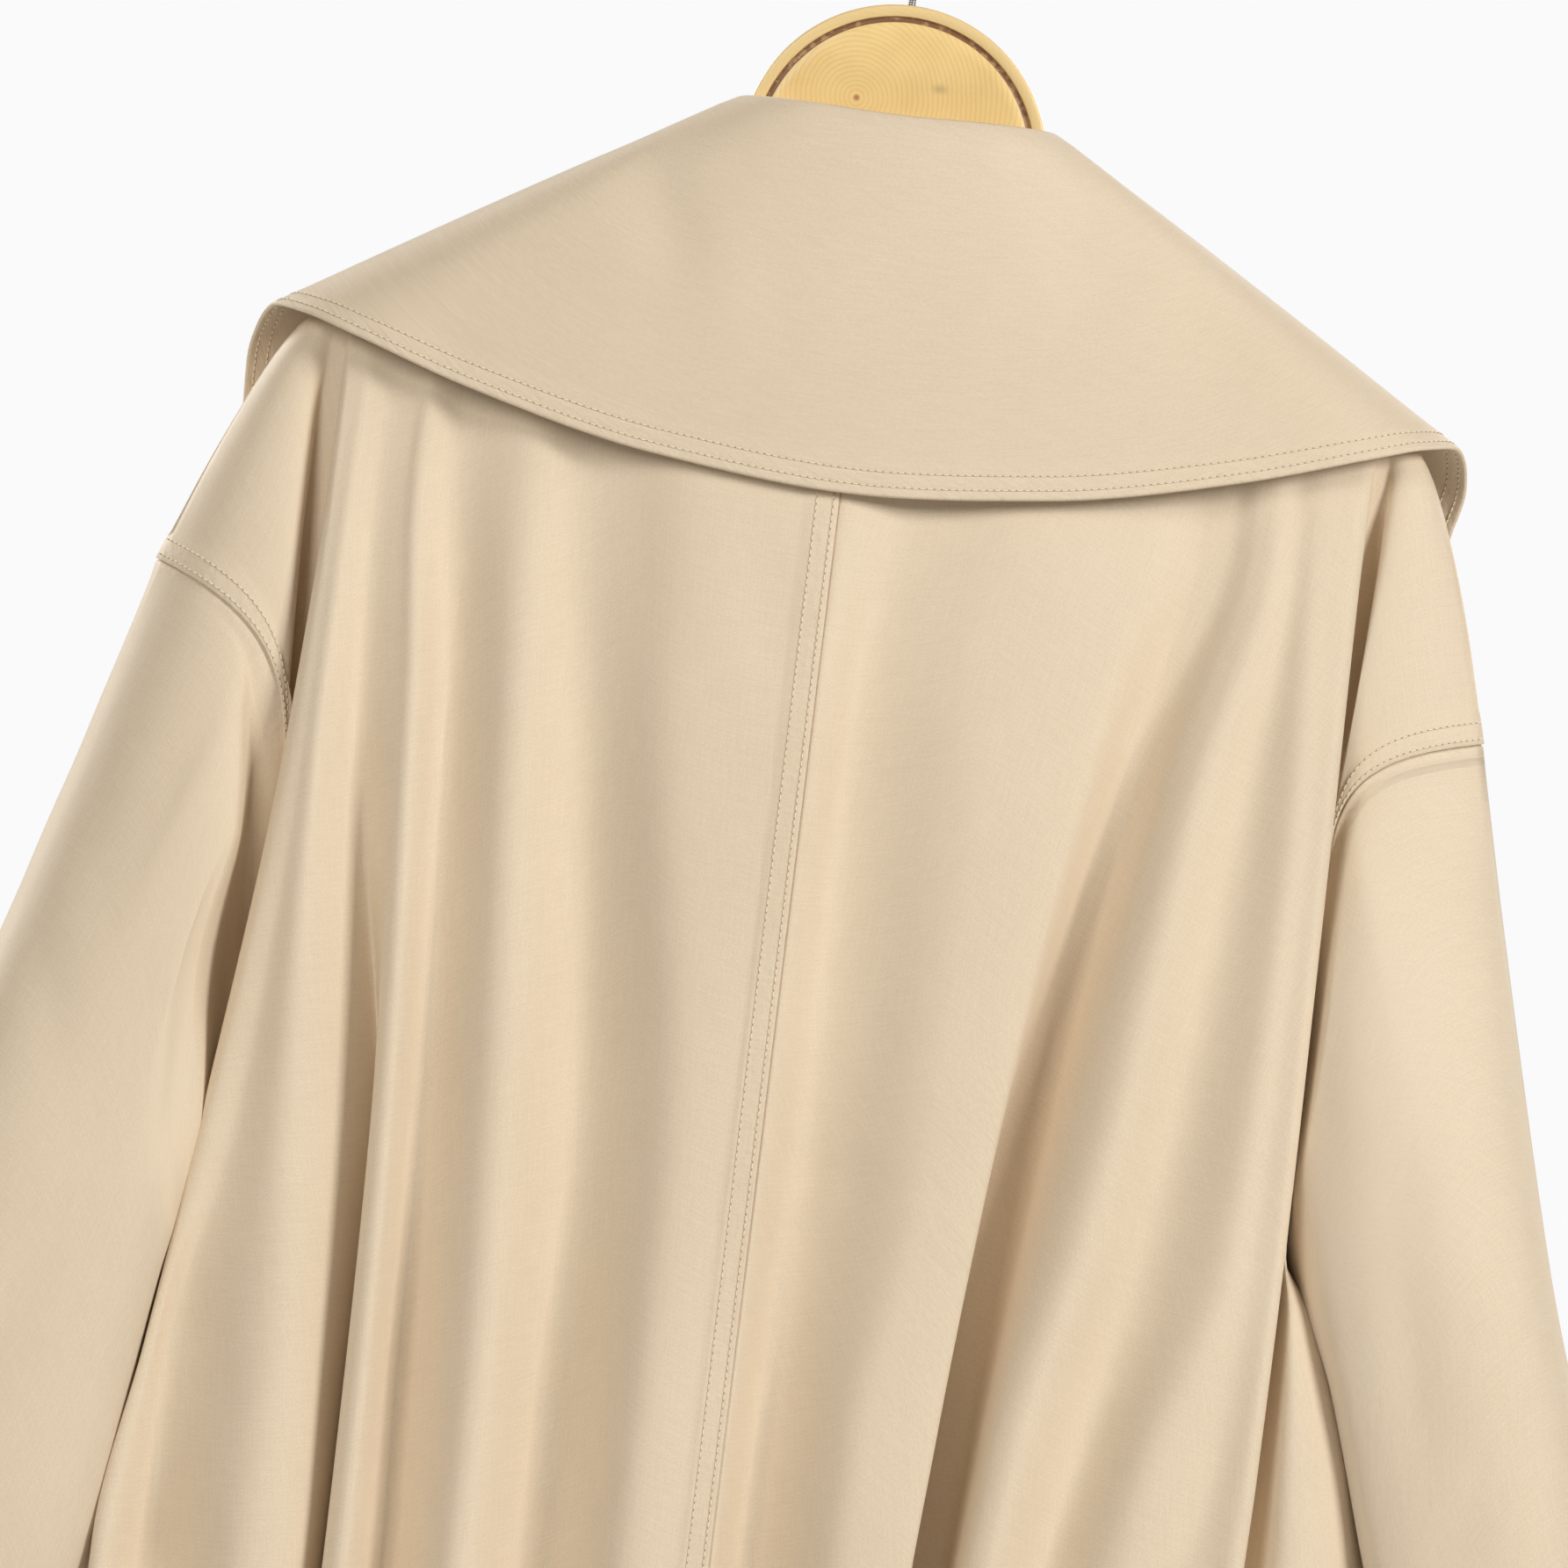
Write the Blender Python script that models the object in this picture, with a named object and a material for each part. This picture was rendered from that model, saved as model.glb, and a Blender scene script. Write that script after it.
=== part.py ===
"""A trench coat hanging on a round-plated wooden hanger, as closed solids, one for each sewn or hard piece.

Lengths are in millimetres until the last step. +Z is up, the coat's back faces +Y and its wearer's left is +X.
The origin is the place where the hook hangs, the highest point of its inner curve.

A panel of cloth is a grid of columns and rows. Columns run down the cloth, and are spaced by `along`, the
distance round the cloth from the panel's first edge. Rows are read by `down`, which is 0 at the shoulder seam,
1 at the level of the underarm, and grows by 1 for each FLARE_LENGTH below it. A column's `out` is its distance
from the middle of the coat, and its stand-out is how far it lies behind or before the flat of the hanger.
"""

import math

import bmesh
import bpy
import numpy as np

MM = 0.001

# Cloth
CLOTH = 1.6
COLLAR_CLOTH = 2.0
SEAM_GAP = 0.3

# The coat's heights and widths
UNDERARM_Z = -515.0
BELT_Z = -740.0
HEM_Z = -1250.0
FLARE_LENGTH = 400.0
NECK_HALF = 66.0
NECK_SIDE_Z = -112.0
NECK_BACK_Z = -123.0
NECK_DEPTH = 22.0
CENTRE_BACK_X = 5.0
FRONT_LAP = 65.0
LAP_TOP = -245.0
LAP_FADE = 40.0
BREAK_Z = -330.0

# Belt
BELT_WIDTH = 40.0
BELT_CLOTH = 2.2
BELT_HALF = (222.0, 56.0)
BELT_SQUARENESS = 3.0
BELT_EASE = 1.2
BELT_TAIL = 150.0
LOOP_WIDTH = 12.0
LOOP_CLOTH = 1.4
# Places of its sections in each quarter round the coat, closest where it bends at the side
BELT_STEPS = (0, 0.2, 0.4, 0.58, 0.7, 0.78, 0.84, 0.885, 0.92, 0.96, 1.0)

# Buttons and buckle
BUTTON_RADIUS = 13.0
BUTTON_THICK = 3.6
BUTTON_STEPS = 12
# How far round a button its plane is read from the cloth
BUTTON_REACH = 50.0
BUTTON_COLUMNS = (42.0, -42.0)
BUTTON_ROWS = (-430.0, -530.0, -630.0)
BUCKLE_HALF = (27.0, 27.5)
BUCKLE_BAR = 4.0
BUCKLE_THICK = 3.0
BUCKLE_BEVEL = 0.7
# How deep and how high the bar across the buckle is
PRONG = (2.0, 3.2)

# Hanger
PLATE_RADIUS = 59.0
PLATE_CENTRE_Z = -115.2
PLATE_BOTTOM_Z = -103.3
PLATE_HALF = 6.0
RIM_WIDTH = 4.6
GROOVE_WIDTH = 2.3
GROOVE_DEPTH = 1.2
PLATE_STEPS = 48
ARM_END = 196.0
ARM_MIDDLE = 46.0
ARM_PLACES = (0, 28, ARM_MIDDLE, 51, 66, 80, 100, 125, 150, 175, 190, ARM_END)
ARM_HALF = 5.0
ARM_HEIGHT = 24.0
# How far its top lies below the outside of the cloth
ARM_DROP = 3.6
HOOK_WIRE = 1.6
HOOK_INNER = 18.0
HOOK_STEPS = 20
WIRE_SIDES = 8
STEM_DEPTH = 15.0

# Where each side of the coat differs. `tip` is the top of the armhole seam, `curl` how quickly it turns down.
SIDES = {
    "left": {"sign": 1, "tip": (262.5, -302.0), "curl": 26.0, "underarm": 207.0},
    "right": {"sign": -1, "tip": (253.0, -311.0), "curl": 12.0, "underarm": 203.5},
}

# The shoulder line under the collar: distance out from the middle, and height.
SHOULDER_LINE = {
    "left": ((66, -112), (110, -135), (150, -159), (202, -187), (218, -204), (237, -240), (249, -266), (262.5, -302)),
    "right": ((66, -112), (110, -135), (150, -158), (202, -188), (217, -205), (231, -231), (240, -266), (253, -311)),
}

# How the cloth falls from the shoulder line: drop below it, and how far the back and the front stand out.
HANG = (
    (0, 0, 0),
    (1.5, 5.5, 5.5),
    (5.5, 9.5, 9.5),
    (15, 13, 13),
    (40, 19, 19),
    (90, 27, 27),
    (160, 36, 35),
    (330, 46, 46),
    (480, 50, 52),
    (580, 52, 54),
    (1150, 74, 74),
)

# Rows of every panel, by `down`, above and below the underarm.
DOWN = (0, 0.004, 0.014, 0.04, 0.085, 0.14, 0.22, 0.32, 0.44, 0.57, 0.71, 0.86, 1.0)
DOWN_SKIRT = (1.1, 1.2125, 1.31, 1.4, 1.46, 1.5075, 1.5625, 1.6175, 1.68, 1.8, 2.05, 2.4, 2.8375)
# The levels of the fold tables below, then the belt's upper and lower edge, the skirt and the hem.
LEVELS = (0.0, 0.25, 0.5, 1.0, 1.2125, 1.4, 1.5075, 1.6175, 1.76, 2.8375)

# Folds of each back half. `along` is a place round the cloth. The next five are the distance out from the middle
# at the shoulder seam, yoke, chest, underarm and low back, and `hip` just above the belt. The last five are how
# far the fold stands out from (or, below 0, lies behind) the hang of the cloth, from the yoke to the hip.
FOLD_COLUMNS = ("name", "along", "seam", "yoke", "chest", "underarm", "low", "hip",
                "out_yoke", "out_chest", "out_underarm", "out_low", "out_hip")
BACK_FOLDS = {
    "left": (
        ("centre seam", 0, 5, 5, 5, 5, 5, 5, 0, 0, 0, 0, 0),
        ("neck side", 27, 66, 62, 48, 28, 28, 28, -1, -3.5, -5, -6, -6),
        ("soft valley", 50, 105, 99, 79, 51, 52, 52, -2, -7, -11, -12, -12),
        ("ridge", 88, 125, 121, 108, 90, 83, 80, 0, 0, 0, 0, 0),
        ("valley", 118, 150, 145, 134, 120, 117, 114, -6, -10, -13, -13, -12),
        ("ridge", 140, 163, 160, 152, 143, 141, 139, -1, 0, 0, 1, 1),
        ("overlap edge", 154, 168, 166, 160, 152.5, 151, 150, -4, -4, -5, -6, -6),
        ("deep valley", 176, 178, 174, 167, 154, 152.5, 151, -7, -12, -23, -26, -26),
        ("ridge", 208, 190, 189, 183, 176, 174, 168, 0, 0, 0, 0, 0),
        ("low valley", 232, 194, 193, 190, 192, 203, 205, -0.5, -1, -3, -5, -10),
        ("pane roll", 246, 197, 196.5, 197, 208, 219, 226, -1, -1, -2, -1, -2),
        ("pane edge", 254, 199, 198.5, 200, 215.5, 227.5, 236, -5, -5, -7, -7, -7),
        ("tuck", 268, 200.5, 197, 197, 211, 224, 232, -8, -10, -14, -17, -17),
        ("pocket", 284, 202, 201, 201, 207, 222, 231, -9, -13, -23, -27, -27),
    ),
    "right": (
        ("centre seam", 0, -5, -5, -5, -5, -5, -5, 0, 0, 0, 0, 0),
        ("soft valley", 40, 48, 45, 33, 34, 26, 24, -4, -7, -8, -9, -9),
        ("neck side", 56, 66, 62, 50, 49, 42, 40, -3, -5, -5.5, -6, -6),
        ("ridge", 90, 125, 118, 104, 79, 73, 69, 0, 0, 0, 1, 1),
        ("overlap edge", 102, 132, 126, 112, 84, 77, 74, -1, -2, -5, -6, -6),
        ("deep valley", 124, 158, 151, 127, 86, 79, 75.5, -8, -12, -21, -25, -26),
        ("valley floor", 138, 163, 157, 135, 98, 91, 88, -7, -11, -19, -21, -21),
        ("ridge", 172, 172, 167, 155, 130, 116, 112, 0, 0, -1, -1, -1),
        ("valley", 196, 181, 178, 173, 160, 145, 132, -4, -7, -10, -12, -12),
        ("low ridge", 214, 187, 186, 183, 180, 169, 152, -0.5, -1, -2, 0, 0),
        ("low valley", 228, 191, 190, 188, 188, 184, 170, -0.5, -1, -1.5, -8, -10),
        ("pane roll", 242, 195, 194, 193.5, 194, 193.5, 190, -1, -1, -1, -1, -1),
        ("pane edge", 250, 199, 198, 196.7, 199, 198, 196, -5, -5, -5, -5, -5),
        ("tuck", 262, 200.5, 196, 194, 194, 195, 194.5, -8, -10, -13, -13, -13),
        ("pocket", 276, 202, 199.5, 197.5, 197, 201, 200, -9, -13, -22, -20, -18),
    ),
}
# The fronts share one table. Its first column, the front edge, follows the V of the neck instead.
FRONT_FOLDS = (
    ("front edge", 0, 63, 35, 7, -65, -65, -65, 0, 0, 0, 0, 0),
    ("lap", 70, 78, 64, 45, 0, 0, 0, 0, 0, 0, 0, 0),
    ("lap end", 158, 94, 88, 80, 76, 76, 76, 0, 0, 0, 0, 0),
    ("valley", 186, 118, 114, 108, 103, 101, 99, -3, -7, -12, -14, -14),
    ("ridge", 212, 140, 138, 133, 130, 128, 126, 0, 0, 0, 0, 0),
    ("soft valley", 242, 170, 167, 163, 162, 161, 160, -2, -4, -7, -9, -9),
    ("pane roll", 278, 195, 194, 194, 196, 199, 204, -1, -1, -1, -1, -1),
    ("pane edge", 288, 199, 198, 198.5, 203, 209, 215, -5, -5, -6, -6, -6),
    ("tuck", 300, 200.5, 196, 195, 197, 204, 211, -8, -10, -14, -16, -16),
    ("pocket", 312, 202, 199.5, 197.5, 199.5, 208, 214, -9, -13, -23, -25, -25),
)
# Between the pocket behind the arm and the armhole or side seam: how far along the two columns of the cap and
# the seam lie past the pocket, and each one's distance out at the underarm, low and hip levels. Then how far
# it stands out there. The right side of the back bulges over the belt.
CAP_ALONG = (18, 38, 58)
SIDE_PANEL = {
    ("left", True): ((207, 222.5, 231), (207, 223, 232), (207, 223, 232)),
    ("right", True): ((199.5, 210, 214), (201.5, 222, 234), (203.5, 226, 243)),
    ("left", False): ((207, 222.5, 231), (207, 223, 232), (207, 223, 232)),
    ("right", False): ((201.5, 216, 228), (202.5, 222, 237), (203.5, 226, 243)),
}
SIDE_STAND = {
    ("left", True): ((17, 17, 18), (9, 9, 10), (0, 0, 0)),
    ("right", True): ((17, 30, 32), (9, 19, 23), (0, 0, 0)),
    ("left", False): ((17, 17, 18), (9, 9, 10), (0, 0, 0)),
    ("right", False): ((17, 19, 20), (9, 11, 12), (0, 0, 0)),
}
HEM_SPREAD = 1.16
HEM_SWELL = 1.3
BELT_PINCH = 0.4
SKIRT_SPREAD = 0.99
SKIRT_SWELL = 0.8

RING_TURN = 60.0
# Sleeves: height, distance out of its middle, half-width, set back, half-depth and how much higher its outer
# side is than its inner side.
TUBE_COLUMNS = ("z", "middle", "half_width", "back", "half_depth", "tilt")
SLEEVES = {
    "left": (
        (-540, 276, 54, -6, 56, 44),
        (-600, 288, 59, -8, 60, 34),
        (-657, 299.5, 63.5, -6, 60, 32),
        (-750, 322, 62, -3, 56, 28),
        (-862, 342, 60, 0, 50, 16),
    ),
    "right": (
        (-540, 264.5, 46.5, -6, 58, 40),
        (-600, 280.5, 46, -12, 62, 30),
        (-657, 294.5, 45.5, -10, 62, 28),
        (-750, 313, 48, -4, 60, 24),
        (-862, 330, 51, 0, 56, 14),
    ),
}

# Half-width, back depth and front depth of the oval that the collar's roll follows round the neck
NECK_ROLL = (64.5, 27.0, 60.0)
# The collar, from the middle of the back over the left shoulder to the front. `roll` is its folded top, `edge`
# its outer edge, each as across, back and up; `stand` is the height of the band inside it, and `swell` how far
# the cloth between stands off a straight line.
COLLAR_COLUMNS = ("name", "roll_x", "roll_y", "roll_z", "edge_x", "edge_y", "edge_z", "stand", "swell", "front")
COLLAR = (
    ("centre back", 0, 27, -101.5, 0, 44, -246, 20.5, 2, 0),
    ("inner back", 31, 25, -100.5, 76, 43.5, -239.5, 18.5, 2, 0),
    ("outer back", 53, 17, -99.8, 146, 40, -224, 15, 3, 0),
    ("back of shoulder", 61, 9, -99.6, 193, 31, -209, 12, 3, 0),
    ("behind the tip", 64, 4, -99.8, 216, 17, -201.5, 11, 2, 0),
    ("shoulder tip", 64.5, 0, -100.3, 229, 2, -199, 10.5, 1, 0),
    ("before the tip", 64.5, -4, -101.5, 236, -13, -207, 9.5, 2, 0),
    ("wing", 63, -9, -104, 239, -27, -222, 8, 3, 0.3),
    ("front of shoulder", 60, -16, -113, 238, -41, -262, 7, 4, 0.8),
    ("chest", 50, -29, -149, 198, -56, -322, 6, 5, 1),
    ("lower chest", 32, -44, -225, 128, -64, -368, 6, 4, 1),
    ("front end", 7, -55, -318, 36, -66, -384, 5, 2, 1),
)


def smooth(knots, values, at, start=1.0, end=1.0):
    """A monotone cubic through values at knots, read at `at`. A local high or low of the values is flat there.

    `start` and `end` scale the slope at the two ends, so 0 makes an end flat.
    """
    knots = np.asarray(knots, float)
    values = np.asarray(values, float)
    at = np.asarray(at, float)
    shape = (-1,) + (1,) * (values.ndim - 1)
    step = np.diff(knots).reshape(shape)
    slope = np.diff(values, axis=0) / step
    before, after = slope[:-1], slope[1:]
    same_way = before * after > 0
    weight_a = 2 * step[1:] + step[:-1]
    weight_b = step[1:] + 2 * step[:-1]
    safe = np.where(same_way, weight_a * after + weight_b * before, 1.0)
    inner = np.where(same_way, (weight_a + weight_b) * before * after / safe, 0.0)
    tangent = np.concatenate([slope[:1] * start, inner, slope[-1:] * end])
    index = np.clip(np.searchsorted(knots, at, side="right") - 1, 0, len(knots) - 2)
    read = at.shape + (1,) * (values.ndim - 1)
    width = np.diff(knots)[index].reshape(read)
    u = (at - knots[index]).reshape(read) / width
    return (
        (1 + 2 * u) * (1 - u) ** 2 * values[index]
        + u * (1 - u) ** 2 * width * tangent[index]
        + u**2 * (3 - 2 * u) * values[index + 1]
        - u**2 * (1 - u) * width * tangent[index + 1]
    )


def named(columns, rows):
    """A table as a dictionary of one array for each named column of numbers."""
    return {name: np.array([row[i] for row in rows]) for i, name in enumerate(columns)}


def between(values, extra):
    """The values, with `extra[i]` even steps added between value i and the next."""
    parts = [np.linspace(a, b, n + 1, endpoint=False) for a, b, n in zip(values[:-1], values[1:], extra)]
    return np.concatenate([*parts, values[-1:]])


def make_material(name, color, roughness, metallic=0.0):
    material = bpy.data.materials.new(name)
    material.use_nodes = True
    shader = material.node_tree.nodes["Principled BSDF"]
    shader.inputs["Base Color"].default_value = (*color, 1.0)
    shader.inputs["Roughness"].default_value = roughness
    shader.inputs["Metallic"].default_value = metallic
    return material


def add_solid(name, points, faces, material, smooth_shade=True):
    """One named object from points in millimetres, with its faces turned outward."""
    mesh = bpy.data.meshes.new(name)
    mesh.from_pydata((np.asarray(points) * MM).tolist(), [], [list(map(int, face)) for face in faces])
    made = bmesh.new()
    made.from_mesh(mesh)
    bmesh.ops.recalc_face_normals(made, faces=made.faces)
    made.to_mesh(mesh)
    made.free()
    mesh.materials.append(material)
    if smooth_shade:
        mesh.shade_smooth()
        mesh.set_sharp_from_angle(angle=math.radians(50))
    obj = bpy.data.objects.new(name, mesh)
    bpy.context.scene.collection.objects.link(obj)
    return obj


def grid_normals(grid):
    """Normals of a grid of points, to the side where (next column) x (next row) points.

    At a bend between two columns the normal halves the angle, and is longer than 1 by 1 / cos(half the angle),
    so a wall that is moved along it keeps its thickness.
    """
    steps = np.diff(grid, axis=0)
    down = np.gradient(grid, axis=1)
    faces = unit(np.cross(steps, (down[1:] + down[:-1]) / 2))
    before = np.concatenate([faces[:1], faces])
    after = np.concatenate([faces, faces[-1:]])
    halfway = unit(before + after)
    return halfway / np.clip((halfway * after).sum(2, keepdims=True), 0.4, 1)


def unit(vectors):
    return vectors / np.linalg.norm(vectors, axis=-1, keepdims=True)


def wall(name, outer, normals, thickness, material, around=False):
    """A closed wall of cloth: the outer grid, the same grid moved in along the normals, and rims to close it.

    With `around` the grid's columns close into a tube, so only its first and last rows have a rim.
    """
    inner = outer - normals * thickness
    columns, rows = outer.shape[:2]
    points = np.concatenate([outer.reshape(-1, 3), inner.reshape(-1, 3)])
    index = np.arange(columns * rows).reshape(columns, rows)
    if around:
        index = np.concatenate([index, index[:1]])
    a, b = index[:-1, :-1].ravel(), index[1:, :-1].ravel()
    c, d = index[1:, 1:].ravel(), index[:-1, 1:].ravel()
    lift = columns * rows
    faces = [np.stack([a, b, c, d], 1), np.stack([a + lift, d + lift, c + lift, b + lift], 1)]
    edges = [index[:, 0][::-1], index[:, -1]]
    if not around:
        edges += [index[0, :], index[-1, :][::-1]]
    for edge in edges:
        faces.append(np.stack([edge[:-1], edge[1:], edge[1:] + lift, edge[:-1] + lift], 1))
    return add_solid(name, points, np.concatenate(faces), material)


def belt_quarter(run):
    """A point on the belt's line and its outward direction, for a run round it from the middle of the back.

    The line is |x / a|^n + |y / b|^n = 1. A run past the side would turn to the front, and one below 0 goes
    the other way.
    """
    power = 2 / BELT_SQUARENESS
    turn = np.linspace(0, math.pi / 2, 2000)
    x = BELT_HALF[0] * np.sin(turn) ** power
    y = BELT_HALF[1] * np.cos(turn) ** power
    length = np.concatenate([[0], np.cumsum(np.hypot(np.diff(x), np.diff(y)))])
    at = np.abs(run)
    x, y = np.interp(at, length, x), np.interp(at, length, y)
    across = (x / BELT_HALF[0]) ** (BELT_SQUARENESS - 1) / BELT_HALF[0]
    ahead = (y / BELT_HALF[1]) ** (BELT_SQUARENESS - 1) / BELT_HALF[1]
    size = np.hypot(across, ahead)
    way = np.sign(run) + (np.asarray(run) == 0)
    return np.stack([x * way, y], -1), np.stack([across / size * way, ahead / size], -1), length[-1]


# Panels of the body


def shoulder_height(side, across):
    """Height of the shoulder line at a distance out from the middle."""
    out, height = np.array(SHOULDER_LINE[side], float).T
    return smooth(out, height, across)


def top_edge(side, seam_out, neck_depth):
    """Height and stand-out of a panel's top edge: the round of the neck, then the shoulder line."""
    share = np.clip(1 - (np.asarray(seam_out, float) / NECK_HALF) ** 2, 0, 1)
    neck = NECK_SIDE_Z + (NECK_BACK_Z - NECK_SIDE_Z) * share
    height = np.where(seam_out < NECK_HALF, neck, shoulder_height(side, np.maximum(seam_out, NECK_HALF)))
    return height, neck_depth * np.sqrt(share)


def armhole(side, drop):
    """Distance out and stand-out of the armhole seam at a drop below its top."""
    tip_out, tip_z = SIDES[side]["tip"]
    low_out = SIDES[side]["underarm"]
    out = low_out + (tip_out - low_out) * np.exp(-drop / SIDES[side]["curl"])
    fall = np.clip(drop / (tip_z - UNDERARM_Z), 0, 1)
    stand = 15.0 * (1 - np.exp(-drop / 4.0)) * (1 - fall**5)
    return out, np.where(fall >= 1, 0.0, stand)


def front_edge(height):
    """Distance across of a front's edge: down the V of the neck, then out to the lap and straight to the hem."""
    return smooth((-HEM_Z, 375, -BREAK_Z, -NECK_SIDE_Z)[::-1], (-FRONT_LAP, -FRONT_LAP, 3.0, 63.0)[::-1], -height)


def panel(side, folds, back):
    """A panel's columns of points, from the centre to the armhole and side seam: distance out, stand-out, height."""
    table = named(FOLD_COLUMNS, folds)
    at = fine_columns(table["along"], back)
    along = np.concatenate([at, at[-1] + np.array(CAP_ALONG)])
    sides = [np.array(sizes[side, back], float).T for sizes in (SIDE_PANEL, SIDE_STAND)]
    across = np.array([smooth(table["along"], table[level], at) for level in FOLD_COLUMNS[2:8]])
    out = [smooth(table["along"], table[level], at, 0.0) for level in FOLD_COLUMNS[8:]]
    out = np.array([0 * at, *out])

    # At the belt the folds are pressed evenly round it. Below it they open towards the hem.
    whole = belt_quarter(0.0)[2]
    start = across[-1, 0]
    run = start + (whole - start) * along / along[-1]
    line, outward, _ = belt_quarter(run)
    pressed = np.zeros(len(along))
    pressed[: len(at)] = np.minimum(out[-1], 0) * BELT_PINCH
    line = line + outward * (pressed - BELT_EASE / 2)[:, None]
    belt_across, belt_stand = line.T

    down = np.array(DOWN + DOWN_SKIRT)
    drops, backs, fronts = np.array(HANG, float).T
    hang = backs if back else fronts
    above = np.minimum(down, 1)[:, None]
    below = np.maximum(down - 1, 0)[:, None] * FLARE_LENGTH
    seam_out = across[0]
    if back:
        top, neck_stand = top_edge(side, seam_out, NECK_DEPTH)
    else:
        top, neck_stand = shoulder_height(side, np.maximum(seam_out, NECK_HALF)), 0 * seam_out

    def stand_at(level):
        """How far the smooth hang of each fold's column stands out at a level."""
        height = top + (UNDERARM_Z - top) * min(level, 1) - max(level - 1, 0) * FLARE_LENGTH
        return np.hypot(smooth(drops, hang, top - height), neck_stand)

    count = len(at)
    spread_x = [across[-1] * SKIRT_SPREAD, across[-1] * HEM_SPREAD]
    spread_y = [stand_at(LEVELS[8]) + out[-1] * SKIRT_SWELL, stand_at(LEVELS[9]) + out[-1] * HEM_SWELL]
    x = smooth(LEVELS, np.array([*across, belt_across[:count], belt_across[:count], *spread_x]), down)
    # Stand-out is read as a share between the smooth hang above the belt and the belt's own line.
    upper = np.array([stand_at(level) for level in down]) + smooth(LEVELS[:6], out, np.minimum(down, LEVELS[5]))
    y_levels = np.array([stand_at(LEVELS[5]) + out[-1], belt_stand[:count], belt_stand[:count], *spread_y])
    lower = smooth(LEVELS[5:], y_levels, np.maximum(down, LEVELS[5]), 0.0)
    y = np.where((down <= LEVELS[5])[:, None], upper, lower)
    height = top + (UNDERARM_Z - top) * above - below
    if not back:
        x[:, 0] = front_edge(height[:, 0])

    # The cap and the side panel close the gap between the pocket and the armhole or side seam.
    pocket_out, pocket_stand = x[:, -1], y[:, -1]
    tip_out, tip_z = SIDES[side]["tip"]
    seam_height = tip_z + (UNDERARM_Z - tip_z) * above[:, 0] - below[:, 0]
    seam_x, seam_stand = armhole(side, tip_z - seam_height)
    columns = []
    skirt = down >= 1
    for number, share in enumerate((1 / 3, 2 / 3, 1.0)):
        start_out = pocket_out[0] + (tip_out - pocket_out[0]) * share
        start_top = shoulder_height(side, [start_out])[0]
        cap_x = pocket_out + (seam_x - pocket_out) * share
        cap_y = pocket_stand + (seam_stand - pocket_stand) * share**0.7
        cap_z = start_top + (UNDERARM_Z - start_top) * above[:, 0] - below[:, 0]
        low_x, low_y = sides[0][:, number], sides[1][:, number]
        belt_x, belt_y = belt_across[count + number], max(belt_stand[count + number], 0.0)
        side_x = [*low_x, belt_x, belt_x, low_x[2] * SKIRT_SPREAD, low_x[2] * HEM_SPREAD]
        side_y = [*low_y, belt_y, belt_y, low_y[2], low_y[2] * HEM_SWELL]
        cap_x[skirt] = smooth(LEVELS[3:], side_x, down[skirt])
        cap_y[skirt] = smooth(LEVELS[3:], side_y, down[skirt])
        columns.append(np.stack([cap_x, cap_y, cap_z], 1))
    main = np.stack([x, y, height], 2).transpose(1, 0, 2)
    return np.concatenate([main, np.array(columns)])


def fine_columns(along, back):
    """The places along the cloth that get a column: every fold, and one or two more in each wide gap."""
    gaps = np.diff(along)
    wide = 21 if back else 28
    return between(along, np.where(gaps > 45, 2, np.where(gaps > wide, 1, 0)))


def ring_fall(side, height):
    """0 at the top of the armhole, rising to 1 at RING_TURN below it."""
    fall = np.clip((SIDES[side]["tip"][1] - height) / RING_TURN, 0, 1)[:, None]
    return fall**2 * (3 - 2 * fall)


def panel_grid(side, back):
    """The panel's outer points and normals, with its seams at the middle, the shoulder and the side set apart."""
    folds = BACK_FOLDS[side] if back else FRONT_FOLDS
    sign = SIDES[side]["sign"]
    facing = 1 if back else -1
    grid = panel(side, folds, back) * (sign, facing, 1)
    normals = grid_normals(grid) * (sign * facing)

    # Beside the armhole the wall's thickness goes straight into the body.
    low = np.array(DOWN + DOWN_SKIRT) >= 1
    fall = ring_fall(side, grid[-1, :, 2])
    normals[-1] = unit(normals[-1] * (1 - fall) + np.array([sign * 0.94, facing * 0.34, 0]) * fall)
    normals[-1, low] = (sign, 0, 0)
    on_shoulder = np.abs(grid[:, 0, 1]) < 1e-6
    normals[on_shoulder, 0, 1] = 0
    if back:
        normals[0, :, 0] = 0
    grid[-1, low, 1] += facing * SEAM_GAP / 2
    grid[on_shoulder, 0, 1] += facing * SEAM_GAP / 2
    if back:
        grid[0, :, 0] += sign * SEAM_GAP / 2
    return grid, normals


def lapped(grid, side):
    """The left front lies under the right one where they lap, so it is moved in there."""
    reach = np.clip((FRONT_LAP + LAP_FADE - np.abs(grid[:, :, 0])) / LAP_FADE, 0, 1)
    reach = reach * np.clip((LAP_TOP - grid[:, :, 2]) / LAP_FADE, 0, 1)
    grid[:, :, 1] += reach * (CLOTH + 4 * SEAM_GAP) * (side == "left")
    return grid


def body_panel(name, side, back, material):
    grid, normals = panel_grid(side, back)
    if not back:
        grid = lapped(grid, side)
    turned = SIDES[side]["sign"] * (1 if back else -1) > 0
    if not turned:
        grid, normals = grid[::-1], normals[::-1]
    wall(name, grid, normals, CLOTH, material)


# Sleeves


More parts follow.
